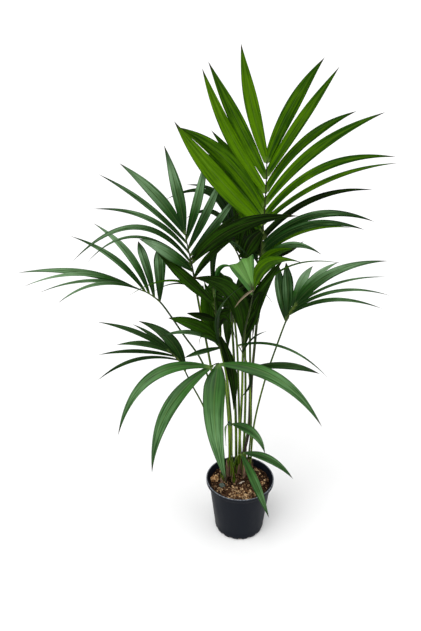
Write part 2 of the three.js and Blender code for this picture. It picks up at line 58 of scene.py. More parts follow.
# ---- places, as in the part's source -------------------------------------------------------

# Where the photograph was taken from: the eye in millimetres, how far it looks down, and the
# lens as the distance in pixels to the photograph's frame.
EYE = {"at": (-83.0, -1560.0, 1460.0), "down_degrees": 26.6, "focal_pixels": 701.0}
PHOTO = (421, 631)

POT = {
    "rim_radius": 95.0,
    "rim_depth": 11.0,
    "neck_radius": 86.5,
    "heel_radius": 70.0,
    "heel_height": 18.0,
    "foot_radius": 64.0,
    "height": 170.0,
    "floor": 2.5,
    "rim_roll": 1.6,  # radius of the rim's rolled lip
}
NEAR_AXIS = 0.5  # how near the axis the pot's profile starts and ends, and the soil's starts
SOIL = {
    "top": 155.0,
    "side_heights": (3.0, 6.0, 18.0, 80.0, 146.0),
    "gap": 0.4,
    "bump": 1.3,
    "crown": 4.0,
    "rim_fall": 3.0,
}
# The soil's lumps are the sum of these waves: radians per millimetre over x and y, start, share.
WAVES = ((0.31, 0.27, 1.3, 0.8), (0.17, -0.43, 2.1, 0.6), (0.52, 0.21, 0.4, 0.5))

STEM = {"buried": 45.0, "foot_radius": 5.0, "wall": 1.4, "cup_depth": 24.0}
PETIOLE = {"foot_radius": 4.2, "top_radius": 3.1, "end_radius": 1.1}
RACHIS_BROWN = 0.4  # how far a rachis has gone brown
BLADE = {
    "fold": 0.13,  # how deeply it is folded, against its width
    "pleat": 0.22,  # how high its pleats rise in millimetres
    "twist": 0.16,  # how far it rolls to and fro in radians
    "margin": 0.05,  # how high its margins wave, against its half width
}
ROOTS = (0.04, 0.99)  # the stretch of a rachis that leaflets grow from
LUMP_RISE = 0.3  # how far a lump's middle lies above the soil, against its half height

# A young palm: where its sheath stands in the soil, how high it reaches above the soil, how far
# from its middle the petioles stand in it, and the radius of its hollow.
PALMS = {
    "left": {"x": -47, "y": 0, "height": 26, "ring": 4.4, "bore": 8.4},
    "front": {"x": -29, "y": 18, "height": 66, "ring": 4.1, "bore": 8.7},
    "young": {"x": -17, "y": -7, "height": 14, "ring": 2.8, "bore": 5.8},
    "middle": {"x": -6, "y": 33, "height": 34, "ring": 4.6, "bore": 9.2},
    "centre": {"x": 11, "y": 13, "height": 90, "ring": 0, "bore": 5.0},
    "right": {"x": 28, "y": 34, "height": 56, "ring": 3.2, "bore": 6.6},
    "back": {"x": 8, "y": 59, "height": 44, "ring": 4.7, "bore": 9.5},
}


class Leaf(NamedTuple):
    """One leaflet. Where its midrib passes half-way and its tip are pixels of the photograph."""

    along: float  # where on the rachis it grows, from 0 to 1
    over: tuple
    tip: tuple
    back: float  # how far behind the pot's axis its tip lies
    width: float
    tone: float = 0.5  # how bright it is in its look: partly its own green, partly painted light and shade where it lies
    look: str = ""  # its look, where that isn't its frond's
    roll: float = 0  # in degrees
    peak: float = 0  # where along it it is widest, where that isn't as in its frond


class Frond(NamedTuple):
    """One frond. Its petiole and rachis are lists of points that they pass.

    A point is the x and y of a pixel of the photograph, and how far it lies behind the pot's axis.
    """

    palm: str
    side: float  # the side of the sheath it leaves from, in degrees
    girth: float  # its petiole's girth against the full one
    tone: float  # how bright its petiole is
    look: str  # the look of its leaflets
    faces: tuple  # the way its upper side faces
    petiole: list
    rachis: list
    leaflets: list
    root_width: float = 5.0  # how wide a leaflet is where it grows
    widest_at: float = 0.42  # where along a leaflet it is widest


# Each leaflet's tone and look paint the light and shade it lies in: leaflets in the foliage's shade
# are dark, many with the shaded look, and lit ones are bright.
FRONDS = {
    "crown": Frond(
        palm="centre", side=0, girth=1, tone=0.1, look="sunlit", faces=(0, -0.8, 0.6),
        root_width=15, widest_at=0.46,
        petiole=[(249, 430, 20), (252, 375, 22), (257, 320, 20), (259, 285, 20), (260, 264, 22)],
        rachis=[(262, 235, 28), (265, 205, 38), (267, 160, 52)],
        leaflets=[
            Leaf(1.0, (251, 100), (241, 43), 40, 32, 0.6),
            Leaf(0.88, (231, 108), (208, 61), 0, 32, 0.35),
            Leaf(0.77, (223, 119), (202, 68), -20, 33, 0.75),
            Leaf(0.66, (230, 153), (211, 130), 60, 29, 0.35),
            Leaf(0.57, (209, 145), (177, 127), -60, 38, 0.45),
            Leaf(0.45, (208, 166), (174, 121), -120, 46, 0.8, peak=0.36),
            Leaf(0.5, (231, 180), (200, 149), 20, 32, 0.35),
            Leaf(0.3, (241, 207), (226, 190), 90, 34, 0.2),
            Leaf(0.36, (252, 241), (243, 264), -10, 44, 0.15, "shaded"),
            Leaf(0.08, (254, 240), (249, 222), 20, 36, 0.1, "shaded"),
            Leaf(1.0, (287, 115), (325, 57), 60, 33, 0.22),
            Leaf(0.9, (304.5, 115.5), (340, 66), 10, 25, 0.35),
            Leaf(0.78, (305, 141), (357, 111), 70, 22, 0.22, peak=0.55),
            Leaf(0.68, (318, 148), (386, 112), 10, 25, 0.32),
            Leaf(0.53, (338, 162), (397, 157), -40, 19, 0.22, peak=0.5),
            Leaf(0.45, (345, 173.5), (399, 163), 20, 12, 0.35, roll=20),
            Leaf(0.27, (318, 197), (374, 190), 60, 15, 0.0, "shaded"),
            Leaf(0.16, (325, 213.5), (375, 222), -20, 19, 0.1, "grey"),
            Leaf(0.1, (318, 223.5), (365, 230), -70, 18, 0.05, "grey"),
            Leaf(0.05, (306, 230.5), (352, 228), 60, 9),
            Leaf(0.03, (285, 252), (304, 241), 40, 15, 0.1, "shaded"),
            Leaf(0.0, (297, 245), (322, 255), -70, 16, 0.4, "grey"),
        ],
    ),
    "upper_left": Frond(
        palm="left", side=30, girth=0.85, tone=0.2, look="grey", faces=(0.1, -0.8, 0.6),
        petiole=[(222, 440, 5), (214, 385, -5), (206, 340, -15), (199, 305, -25), (196, 288, -32)],
        rachis=[(192, 266, -45), (188, 248, -60), (185, 233, -70)],
        leaflets=[
            Leaf(1.0, (177, 190), (164, 145), -90, 26),
            Leaf(0.97, (152, 191), (119, 163), -120, 26, 0.6),
            Leaf(0.77, (142, 201), (98, 174), -150, 13, 0.4),
            Leaf(0.56, (145, 217), (92, 209), -170, 12, 0.4),
            Leaf(0.36, (130, 227.5), (72, 262), -190, 13),
            Leaf(0.3, (122, 238.5), (86, 264), -200, 7, 0.4),
            Leaf(0.22, (164, 250), (139, 239), -200, 27, 0.8),
            Leaf(0.86, (198, 198), (207, 154), -20, 22),
            Leaf(0.64, (209, 207), (226, 170), 20, 21, 0.45),
            Leaf(0.5, (219, 220), (242, 188), 40, 19, 0.35),
            Leaf(0.42, (219, 229), (241, 212), -50, 13, 0.1, "shaded"),
            Leaf(0.35, (233, 229), (299, 216), -110, 33, 0.25, "shaded"),
            Leaf(0.12, (212, 254), (236, 238), -60, 17, 0.3, "shaded"),
        ],
    ),
    "far_left": Frond(
        palm="left", side=150, girth=0.7, tone=0.0, look="grey", faces=(0.1, -0.5, 0.85),
        petiole=[(220, 440, -5), (204, 366, -15), (183, 334, -25), (161, 303, -35)],
        rachis=[(154, 297, -42), (146, 292, -52), (136, 288, -62)],
        leaflets=[
            Leaf(1.0, (86, 272.5), (17, 273), -120, 17, 0.6),
            Leaf(0.95, (75, 273.5), (23, 287), -170, 13, 0.8, roll=20),
            Leaf(0.85, (85, 280.5), (39, 293), -210, 11, roll=20),
            Leaf(0.75, (95, 284), (57, 304), -240, 12, 0.6, roll=20),
            Leaf(0.68, (112, 256.5), (70, 236), -10, 15, 0.35),
            Leaf(0.52, (128, 253), (93, 223), 40, 18, 0.6),
            Leaf(0.3, (146, 263), (138, 241), 80, 23, 0.4, peak=0.72),
            Leaf(0.02, (160, 272), (158.5, 245), 100, 30, 0.3, peak=0.72),
        ],
    ),
    "lower_left": Frond(
        palm="left", side=265, girth=0.62, tone=0.0, look="deep", faces=(0, -0.6, 0.8),
        petiole=[(213, 440, -20), (204, 408, -35), (192, 385, -50), (186, 373, -60)],
        rachis=[(182, 364, -70), (176, 357, -78), (169, 351, -88)],
        leaflets=[
            Leaf(0.02, (166, 336), (138, 321), -40, 29, 0.6),
            Leaf(0.55, (152, 335), (132, 324), -60, 12, 0.6),
            Leaf(1.0, (141, 334), (97, 322), -110, 13, 0.55),
            Leaf(0.9, (144, 343.5), (116, 345), -150, 15, 0.65),
            Leaf(0.7, (130, 351), (98, 355), -150, 11),
            Leaf(0.5, (132, 360.5), (97, 381), -190, 11, 0.35, roll=15),
        ],
    ),
    "front": Frond(
        palm="front", side=260, girth=0.85, tone=0.35, look="glossy", faces=(0, -0.6, 0.8),
        root_width=8,
        petiole=[(229, 430, -12), (227, 402, -60), (224.5, 380, -115)],
        rachis=[(221.5, 368, -135), (217.5, 363.5, -148), (210, 367, -163)],
        leaflets=[
            Leaf(1.0, (160, 371.5), (118, 436), -240, 27),
            Leaf(0.9, (175, 399), (152, 473), -270, 33, 0.45),
            Leaf(0.6, (214, 412), (226.5, 482), -300, 52, 0.55, peak=0.22),
            Leaf(0.55, (263, 371.5), (322, 427), -230, 31, peak=0.32),
        ],
    ),
    "inner_left": Frond(
        palm="front", side=90, girth=1, tone=0.25, look="shaded", faces=(0, -0.8, 0.6),
        petiole=[(231, 430, 20), (229, 400, 5), (226, 372, -10), (221, 350, -20)],
        rachis=[(218, 330, -28), (216, 312, -34), (214, 294, -40)],
        leaflets=[
            Leaf(1.0, (226, 241), (254, 262), -60, 16, 0.5, "deep"),
            Leaf(0.95, (228, 266), (240, 272), -60, 12, 0.2, "fresh"),
            Leaf(0.8, (187, 279), (153, 247), -85, 28, 0.4),
            Leaf(0.7, (172, 280.5), (127, 297), -110, 6, 0.9),
            Leaf(0.6, (176, 283.5), (151, 293), -90, 5, 0.3),
            Leaf(0.0, (208, 318), (203, 284), 20, 30, 1.0),
            Leaf(0.05, (215, 316), (214, 284), 10, 30, 0.3),
            Leaf(0.5, (199, 315.5), (186, 313), -50, 18, 0.0),
            Leaf(0.15, (190, 323), (168, 318), -100, 30, 0.6),
            Leaf(0.05, (186, 332), (159, 337), -110, 12, 0.4, "grey"),
            Leaf(0.1, (202, 336), (199, 346), -110, 11),
            Leaf(0.0, (197, 353), (184, 358), -90, 13, 0.2, "grey"),
            Leaf(0.02, (221, 308), (245, 285), -150, 13, 0.4, "deep", roll=20),
            Leaf(0.3, (224, 318), (236, 340), -60, 24, 0.2),
            Leaf(0.25, (230.5, 366), (233.5, 411), -60, 26, 0.0),
        ],
    ),
    "inner_middle": Frond(
        palm="middle", side=150, girth=1, tone=0.18, look="shaded", faces=(0, -0.8, 0.6),
        petiole=[(236, 430, 32), (235, 395, 26), (234, 360, 18), (232, 322, 8)],
        rachis=[(232, 310, 4), (233, 299, -1), (235, 288, -6)],
        leaflets=[
            Leaf(1.0, (243, 281), (243, 268), 30, 26, 0.1),
            Leaf(0.9, (226, 284), (216, 268), 20, 28, 0.3),
            Leaf(0.6, (214, 299), (204, 281), 60, 30, 0.35),
            Leaf(0.5, (247, 296), (255, 324), 40, 28, 0.2),
            Leaf(0.3, (220, 314), (211, 342), 20, 30, 0.4),
            Leaf(0.2, (242, 316), (240, 350), 20, 26, 0.1),
            Leaf(0.8, (250, 284), (262, 268), 70, 24, 0.15),
        ],
    ),
    "inner_right": Frond(
        palm="middle", side=330, girth=1, tone=0.3, look="shaded", faces=(0, -0.8, 0.6),
        petiole=[(240, 430, 22), (242, 395, 8), (243, 352, -12)],
        rachis=[(245, 330, -25), (250, 308, -40), (255, 283, -55)],
        leaflets=[
            Leaf(0.1, (221, 285), (192, 278), -100, 54, 0.45),
            Leaf(0.0, (259, 296), (284, 259), 0, 37, 0.35),
            Leaf(0.4, (264, 285), (276, 264), 50, 26, 0.3),
            Leaf(0.5, (288, 267), (345, 264), -60, 6, 0.9, roll=10),
            Leaf(0.9, (272, 262), (303, 263), -130, 33, 0.4, "sunlit"),
            Leaf(1.0, (276, 253), (296, 249), -90, 28, 0.25, "sunlit"),
            Leaf(0.6, (263, 293), (273, 304), -100, 8, 0.1),
            Leaf(0.85, (238, 264), (254, 292), -150, 38, 0.5, "fresh"),
            Leaf(0.95, (247.5, 259), (254.5, 292), -150, 30, 0.7, "fresh"),
            Leaf(0.92, (243.5, 297), (234, 309), -80, 6, 0.7, "dry", peak=0.2),
            Leaf(0.2, (255, 312), (262, 288), -20, 26, 0.2),
        ],
    ),
    "right": Frond(
        palm="right", side=0, girth=0.7, tone=0.15, look="grey", faces=(0, -0.6, 0.8),
        root_width=9, widest_at=0.34,
        petiole=[(254, 425, 32), (265, 380, 12), (277, 345, -10), (286, 321, -25)],
        rachis=[(289, 315, -28), (293, 309, -30), (297, 303, -32)],
        leaflets=[
            Leaf(0.0, (281, 294), (279, 266), 60, 26, 0.25, peak=0.66),
            Leaf(0.1, (288, 290), (286, 262), 60, 28, 0.3, peak=0.6),
            Leaf(0.7, (301, 283), (313, 266), 80, 24, 0.95, peak=0.55),
            Leaf(0.9, (314, 278), (339, 262), 50, 19, 0.85),
            Leaf(0.4, (322, 279), (389, 261), -20, 23, 0.45),
            Leaf(0.8, (335, 284), (389, 277), -70, 7, 0.4, roll=25),
            Leaf(0.6, (345, 290), (391, 296), -120, 9, 0.4, roll=15),
            Leaf(0.4, (335, 299.5), (383, 309), -160, 11, 0.25),
        ],
    ),
    "low_right": Frond(
        palm="right", side=180, girth=0.65, tone=0.15, look="deep", faces=(0, -0.4, 0.9),
        petiole=[(251, 430, 0), (251, 400, -8), (249, 374, -16)],
        rachis=[(247, 363, -25), (243, 354, -32), (238, 345, -40)],
        leaflets=[
            Leaf(1.0, (283, 347), (328, 378), -150, 7, 0.3, "grey", roll=20),
            Leaf(0.1, (287, 365), (320, 374), -120, 24),
            Leaf(0.7, (253, 338), (268, 331), 0, 5, 0.3),
            Leaf(0.15, (251, 379), (240, 398), -60, 7, 0.0),
        ],
    ),
    "small_high": Frond(
        palm="young", side=110, girth=0.6, tone=0.4, look="glossy", faces=(0, -0.7, 0.7),
        petiole=[(232, 455, -15), (232, 440, -40)],
        rachis=[(232, 432, -55), (232, 427, -65), (232, 424, -75)],
        leaflets=[
            Leaf(1.0, (252, 431.5), (265, 454), -110, 24, 0.3, peak=0.34),
            Leaf(0.8, (227, 425), (226, 447), -140, 17, 0.3),
        ],
    ),
    "small_low": Frond(
        palm="young", side=310, girth=0.6, tone=0.45, look="glossy", faces=(0, -0.7, 0.7),
        petiole=[(233, 468, -25), (236, 459, -35)],
        rachis=[(238, 456, -42), (240, 454, -48), (243, 453, -54)],
        leaflets=[
            Leaf(1.0, (266, 457.5), (293, 479), -100, 21, 0.2),
            Leaf(0.8, (254, 480), (269, 518), -130, 24, 0.4),
        ],
    ),
    "back_left": Frond(
        palm="back", side=310, girth=0.9, tone=0.12, look="deep", faces=(0.2, -0.7, 0.7),
        petiole=[
            (244.5, 430, 62), (245.5, 390, 66), (245, 345, 72), (244, 300, 84), (242, 268, 98),
        ],
        rachis=[(239, 257, 106), (235, 249, 112), (232, 243, 118)],
        leaflets=[
            Leaf(1.0, (203, 191), (165, 200), 60, 15, 0.45),
            Leaf(0.9, (210, 188.5), (185, 185), 140, 14, 0.3),
            Leaf(0.7, (207, 211), (185, 219), 40, 13, 0.35),
            Leaf(0.8, (225, 197), (218, 168), 240, 30, 0.2),
            Leaf(0.3, (254, 232), (258, 212), 130, 30, 0.1),
            Leaf(0.1, (257, 248), (262, 232), 120, 26, 0.1),
        ],
    ),
    "back_right": Frond(
        palm="back", side=70, girth=0.9, tone=0.05, look="shaded", faces=(0, -0.8, 0.6),
        petiole=[(248, 430, 78), (250, 385, 88), (250, 340, 98), (250, 300, 112), (246, 270, 128)],
        rachis=[(243, 259, 136), (240, 250, 144), (237, 243, 150)],
        leaflets=[
            Leaf(1.0, (236, 208), (238, 178), 240, 34, 0.3),
            Leaf(0.8, (248, 222), (252, 200), 250, 34, 0.3),
            Leaf(0.6, (256, 240), (264, 222), 240, 30, 0.15),
            Leaf(0.5, (230, 232), (221, 218), 230, 30, 0.15),
            Leaf(0.2, (252, 252), (258, 266), 140, 28, 0.15),
        ],
    ),
    "back": Frond(
        palm="back", side=190, girth=0.9, tone=0.08, look="shaded", faces=(0, -0.8, 0.6),
        petiole=[(239.5, 430, 70), (238.5, 390, 82), (237, 345, 94), (233, 308, 106)],
        rachis=[(231, 298, 111), (232, 291, 115), (234, 284, 119)],
        leaflets=[
            Leaf(1.0, (221, 290), (207, 330), 160, 38, 0.35),
            Leaf(0.95, (230, 300), (228, 350), 170, 38, 0.3),
            Leaf(0.9, (248, 296), (252, 340), 200, 38, 0.25),
            Leaf(0.6, (214, 284), (203, 300), 160, 34, 0.3),
            Leaf(0.5, (254, 298), (256, 330), 190, 32, 0.25),
            Leaf(0.8, (226, 280), (214, 276), 150, 30, 0.3),
            Leaf(0.2, (250, 286), (264, 276), 205, 28, 0.2),
        ],
    ),
}

# What lies half sunk on the soil: its pixel, its depth, its half sizes, its turn in degrees, and
# how far it is shaken out of round.
LUMPS = {
    "bark_lump": {"at": (215, 478), "back": 6, "half": (12, 10, 11), "turn": 20, "rough": 0.16},
    "grey_pebble": {"at": (222, 488), "back": -22, "half": (9, 7, 7), "turn": -30, "rough": 0.05},
    "pale_twig": {"at": (241, 484), "back": -11, "half": (12, 2.6, 2.4), "turn": 32, "rough": 0.1},
    "small_lump": {"at": (262, 484), "back": -10, "half": (7, 6, 5.5), "turn": 60, "rough": 0.14},
}


def seen(pixel, back):
    """The point seen at a pixel of the photograph, back mm behind the pot's axis."""
    down = np.radians(EYE["down_degrees"])
    across = (pixel[0] - PHOTO[0] / 2) / EYE["focal_pixels"]
    above = (PHOTO[1] / 2 - pixel[1]) / EYE["focal_pixels"]
    ahead = np.cos(down) + above * np.sin(down)
    ray = np.array([across, ahead, above * np.cos(down) - np.sin(down)])
    eye = np.array(EYE["at"])
    return eye + ray * (back - eye[1]) / ray[1]


# ---- looks of the leaflets -----------------------------------------------------------------


class Look(NamedTuple):
    """A kind of leaflet: its name for the user, its deep and its bright colour, its wax, and the
    sheen and shade painted into its colour.
    """

    label: str
    deep: str
    bright: str
    through: float  # how much light goes through it
    rough: float
    shine: float
    painted_sheen: float  # how much grey white painted sheen lies on its outer half
    rib: float  # how plainly its midrib shows
    root: float  # how far it darkens towards its root: painted shade inside the foliage
    end: float  # how far it darkens towards its tip: painted shade on the arching tip


# Painted light and shade: the sunlit look's bright yellow green is partly the young crown's own
# colour and partly painted light; the shaded look is painted shade, the dark green of leaflets
# inside the foliage; the deep look is the darker green of old leaves, partly painted shade. Every
# look's sheen, root and end shares paint sheen and shade.
LOOKS = {
    "sunlit": Look("Young leaf", "#1a4000", "#588500", 0.2, 0.45, 0.06, 0.0, 0.1, 0.0, 0.4),
    "grey": Look("Waxy leaf", "#0d2a06", "#3f7826", 0.08, 0.4, 0.1, 0.37, 0.12, 0.95, 0.9),
    "deep": Look("Old leaf", "#071a05", "#24490f", 0.06, 0.44, 0.08, 0.05, 0.1, 0.6, 0.8),
    "shaded": Look("Inner leaf", "#061200", "#2c5206", 0.06, 0.48, 0.04, 0.0, 0.05, 0.3, 0.4),
    "glossy": Look("Seedling leaf", "#12340a", "#4b8038", 0.08, 0.36, 0.16, 0.2, 0.14, 0.5, 0.8),
    "fresh": Look("Fresh leaf", "#1a4c0e", "#588e42", 0.15, 0.42, 0.2, 0.0, 0.1, 0.0, 0.1),
    "dry": Look("Dry leaf", "#3a2c1c", "#a89a80", 0.05, 0.7, 0.1, 0.0, 0.1, 0.0, 0.0),
}


# ---- settings that a user would change -----------------------------------------------------


def linear(hex_colour):
    """An sRGB hex colour as linear red, green, blue and alpha."""
    channels = np.array([int(hex_colour[k : k + 2], 16) for k in (1, 3, 5)]) / 255
    light = np.where(channels <= 0.04045, channels / 12.92, ((channels + 0.055) / 1.055) ** 2.4)
    return (*light.tolist(), 1.0)


def colour(name, description, hex_colour):
    """A colour property whose default is an sRGB hex colour."""
    shape = {"subtype": "COLOR", "size": 4, "min": 0, "max": 1}
    default = linear(hex_colour)
    return FloatVectorProperty(name=name, description=description, default=default, **shape)


def length(name, description, millimetres):
    """A length property whose default is given in millimetres."""
    shape = {"subtype": "DISTANCE", "unit": "LENGTH", "min": 0, "precision": 5}
    default = millimetres * MILLIMETRE
    return FloatProperty(name=name, description=description, default=default, **shape)


def strength(name, description, default):
    """A light's strength property."""
    return FloatProperty(name=name, description=description, default=default, min=0)


class PalmLeafSettings(bpy.types.PropertyGroup):
    """Sizes and colours of the leaflets. Each look has a deep and a bright colour too."""

    thickness: length("Thickness", "Thickness of a leaflet", 0.7)
    vein_spacing: length("Vein spacing", "Distance between the pleats of a leaflet", 4.5)
    # Painted sheen: the grey white laid over a leaflet's outer half, where its arch catches the
    # light.
    painted_sheen: colour("Bloom", "Grey white wax on the outer half of a leaflet", "#93ad90")
    dry_tip: colour("Dry tip", "Brown of a leaflet's withered tip", "#2a2016")
    midrib: colour("Midrib", "Pale green of the midribs and veins", "#8fa858")


for key, look in LOOKS.items():
    for end in ("deep", "bright"):
        words = f"{look.label}, {end}", f"The {end} end of the colours of a {look.label.lower()}"
        PalmLeafSettings.__annotations__[f"{key}_{end}"] = colour(*words, getattr(look, end))


class PalmStemSettings(bpy.types.PropertyGroup):
    """Colours of the stalks and of the fibrous sheaths at their feet."""

    stalk: colour("Stalk", "Green of the petioles", "#1c3406")
    stalk_pale: colour("Stalk streaks", "Yellow green streaks on the petioles", "#86a81c")
    stalk_foot: colour("Old stalk", "Purple brown of the crown's petiole low down", "#241512")
    fibre: colour("Fibre", "Brown of the leaf sheaths", "#3c241a")
    fibre_pale: colour("Dry fibre", "Tan strands on the leaf sheaths", "#b8967e")
    # Painted shade in the grooves between a sheath's fused stalks.
    sheath_green: colour("Sheath green", "Green of a sheath's living upper part", "#4f6c12")
    groove: colour("Groove", "Dark brown between a sheath's fused stalks", "#0f0905")


class PalmPotSettings(bpy.types.PropertyGroup):
    """Sizes and colours of the nursery pot."""

    wall: length("Wall", "Thickness of the pot's wall", 2.0)
    scallop: length("Scallop depth", "How far the drain notches cut into the heel", 5.0)
    notches: IntProperty(name="Notches", description="Drain notches", default=16, min=3)
    plastic: colour("Plastic", "Blue black of the pot's plastic", "#10141c")
    # Pale grey of the rim's top: partly real scuffs, partly a painted highlight.
    scuffed: colour("Scuffs", "Grey of the scuffed rim", "#8d929a")
    dust: colour("Dust", "Soil dust on the wall", "#1a1f27")


class PalmSoilSettings(bpy.types.PropertyGroup):
    """Sizes and colours of the potting soil and what lies on it."""

    grains: IntProperty(name="Grains", description="Loose grains on the soil", default=1100)
    grain_size: length("Grain size", "Middle diameter of a grain", 4.0)
    peat: colour("Peat", "Dark brown of the damp soil", "#150b05")
    clod: colour("Clod", "Red brown of dry crumbs", "#4e3524")
    grit: colour("Grit", "Tan of clay grit and bark", "#966c42")
    pale_grit: colour("Pale grit", "The palest grains", "#cfae84")
    stone_deep: colour("Stone, deep", "Blue grey of the pebble's hollows", "#29322f")
    stone: colour("Stone", "Grey green of the pebble", "#56625a")
    twig: colour("Twig", "Pale bare wood", "#cfc4b4")


class PalmStageSettings(bpy.types.PropertyGroup):
    """The floor and the light."""

    floor_size: length("Floor size", "Side of the square floor", 90000)
    floor: colour("Floor", "Pale grey white of the floor", "#f4f4f4")
    key_power: strength("Key", "Strength of the main light", 2.2)
    fill_power: strength("Fill", "Strength of the light opposite", 0.6)
    sky: strength("Sky", "Strength of the even white light", 0.6)


# ---- surfaces ------------------------------------------------------------------------------


class Surface(NamedTuple):
    """A closed surface: points in millimetres, faces, and what each point is marked with."""

    points: np.ndarray
    quads: np.ndarray
    triangles: np.ndarray
    marks: dict


def unit(vectors):
    """Vectors made 1 long."""
    return vectors / np.linalg.norm(vectors, axis=-1, keepdims=True)


def dot(one, other):
    """The sum of the products of two vectors' parts."""
    return (one * other).sum(axis=-1, keepdims=True)


def smoothstep(values):
    """0 below 0, 1 above 1, and 3t² - 2t³ between."""
    t = np.clip(values, 0, 1)
    return t * t * (3 - 2 * t)


def full_turn(count):
    """So many even steps of a full turn, in radians."""
    return 2 * np.pi * np.arange(count) / count


def strip_section(columns):
    """How far across and how far up each point of a strip's half-round section lies."""
    turn = np.pi * np.arange(2 * columns) / columns
    return np.cos(turn), -np.sin(turn)


def ball(latitude, longitude):
    """Points of a ball of radius 1, on a grid of latitudes and longitudes."""
    level, height = np.cos(latitude), np.sin(latitude) + 0 * longitude
    return np.stack([level * np.cos(longitude), level * np.sin(longitude), height], axis=-1)


def close_tubes(rings, first, last, **marks):
    """Closes a batch of tubes, rings[item, station, around], with a pole point at each end.

    Each square of the grid is one quad, and each end is a fan round its pole. A mark has one
    value for each grid point, and a pole takes the mean of the ring beside it.
    """
    items, stations, around = rings.shape[:3]
    points = np.concatenate([rings.reshape(items, -1, 3), first[:, None], last[:, None]], axis=1)
    station, turn = np.meshgrid(np.arange(stations - 1), np.arange(around), indexing="ij")
    here, beside = station * around + turn, station * around + (turn + 1) % around
    quads = np.stack([here, beside, beside + around, here + around], axis=-1).reshape(-1, 4)
    turn = np.arange(around)
    beside = (turn + 1) % around
    tail = (stations - 1) * around
    pole = np.full(around, stations * around)
    start_fan = np.stack([beside, turn, pole], axis=-1)
    end_fan = np.stack([tail + turn, tail + beside, pole + 1], axis=-1)
    fans = np.concatenate([start_fan, end_fan])
    offset = np.arange(items)[:, None, None] * (stations * around + 2)
    spread = {}
    for name, values in marks.items():
        grid = np.broadcast_to(values, (items, stations, around))
        poles = np.stack([grid[:, 0].mean(axis=1), grid[:, -1].mean(axis=1)], axis=1)
        spread[name] = np.concatenate([grid.reshape(items, -1), poles], axis=1).ravel()
    quads, fans = (quads + offset).reshape(-1, 4), (fans + offset).reshape(-1, 3)
    return Surface(points.reshape(-1, 3), quads, fans, spread)


def joined(surfaces):
    """Several surfaces as one, with their faces renumbered."""
    starts = np.cumsum([0] + [len(s.points) for s in surfaces[:-1]])
    return Surface(
        np.concatenate([s.points for s in surfaces]),
        np.concatenate([s.quads + start for s, start in zip(surfaces, starts)]),
        np.concatenate([s.triangles + start for s, start in zip(surfaces, starts)]),
        {name: np.concatenate([s.marks[name] for s in surfaces]) for name in surfaces[0].marks},
    )


def smooth_line(points, shares):
    """The centripetal Catmull-Rom line through points, at shares of its number of legs.

    On each leg the line is a cubic whose slopes at both ends come from the points on either
    side, weighed by the square roots of the distances between them.
    """
    ends = 2 * points[[0, -1]] - points[[1, -2]]
    spare = np.vstack([ends[:1], points, ends[1:]])
    place = shares * (len(points) - 1)
    leg = np.minimum(place.astype(int), len(points) - 2)
    t = (place - leg)[:, None]
    p0, p1, p2, p3 = (spare[leg + k] for k in range(4))
    pairs = ((p0, p1), (p1, p2), (p2, p3))
    d0, d1, d2 = (np.sqrt(np.linalg.norm(b - a, axis=1, keepdims=True)) for a, b in pairs)
    slope1 = ((p1 - p0) / d0 - (p2 - p0) / (d0 + d1) + (p2 - p1) / d1) * d1
    slope2 = ((p2 - p1) / d1 - (p3 - p1) / (d1 + d2) + (p3 - p2) / d2) * d1
    square = -3 * p1 + 3 * p2 - 2 * slope1 - slope2
    cube = 2 * p1 - 2 * p2 + slope1 + slope2
    return p1 + slope1 * t + square * t**2 + cube * t**3


def frames_along(lines, facing):
    """Tangents, normals and sides at each station of each line, lines[..., station, 3].

    The first normal is facing made square to the line, and each next one is the last made
    square again, so that the normals aren't twisted.
    """
    tangents = unit(np.gradient(lines, axis=-2))
    normals = np.empty_like(lines)
    normal = np.broadcast_to(np.asarray(facing, float), lines[..., 0, :].shape)
    for station in range(lines.shape[-2]):
        tangent = tangents[..., station, :]
        normal = unit(normal - dot(normal, tangent) * tangent)
        normals[..., station, :] = normal
    return tangents, normals, np.cross(tangents, normals)


def turned(profile, around, shape=None):
    """A profile of (radius, height) pairs turned about the Z axis between poles on it.

    shape, where given, maps each point's radius, height and turn to a new radius.
    """
    radius, height = np.array(profile, float).T
    turn = full_turn(around)
    radii = np.broadcast_to(radius[:, None], (len(radius), around))
    if shape is not None:
        radii = shape(radii, height[:, None], turn[None])
    heights = np.broadcast_to(height[:, None], radii.shape)
    rings = np.stack([radii * np.cos(turn), radii * np.sin(turn), heights], axis=-1)
    first, last = np.array([[0, 0, height[0]]]), np.array([[0, 0, height[-1]]])
    return rings, first, last


def make_piece(name, surface, materials, replaced, faces_of=None, uv=()):
    """Writes a surface into a mesh object that rides on the frame and stands for CAD nodes.

    uv names the two marks that make its UV map, and faces_of the mark that picks a material.
    """
    mesh = bpy.data.meshes.new(name)
    faces = [*surface.quads.tolist(), *surface.triangles.tolist()]
    mesh.from_pydata((surface.points * MILLIMETRE).tolist(), [], faces)
    for material in materials:
        mesh.materials.append(material)
    corners = np.concatenate([surface.quads.ravel(), surface.triangles.ravel()])
    if uv:
        pairs = np.stack([surface.marks[mark][corners] for mark in uv], axis=1)
        mesh.uv_layers.new(name="Surface").data.foreach_set("uv", pairs.ravel())
    for mark, values in surface.marks.items():
        if mark not in (*uv, faces_of):
            attribute = mesh.attributes.new(mark, "FLOAT", "POINT")
            attribute.data.foreach_set("value", values.astype(np.float32))
    if faces_of:
        firsts = np.concatenate([surface.quads[:, 0], surface.triangles[:, 0]])
        chosen = surface.marks[faces_of][firsts].astype(np.int32)
        mesh.polygons.foreach_set("material_index", chosen)
    mesh.polygons.foreach_set("use_smooth", np.ones(len(faces), bool))
    mesh.update()
    made = bpy.data.objects.new(name, mesh)
    bpy.context.scene.collection.objects.link(made)
    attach(made, "root")
    if replaced:
        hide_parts(*replaced)


# ---- materials -----------------------------------------------------------------------------


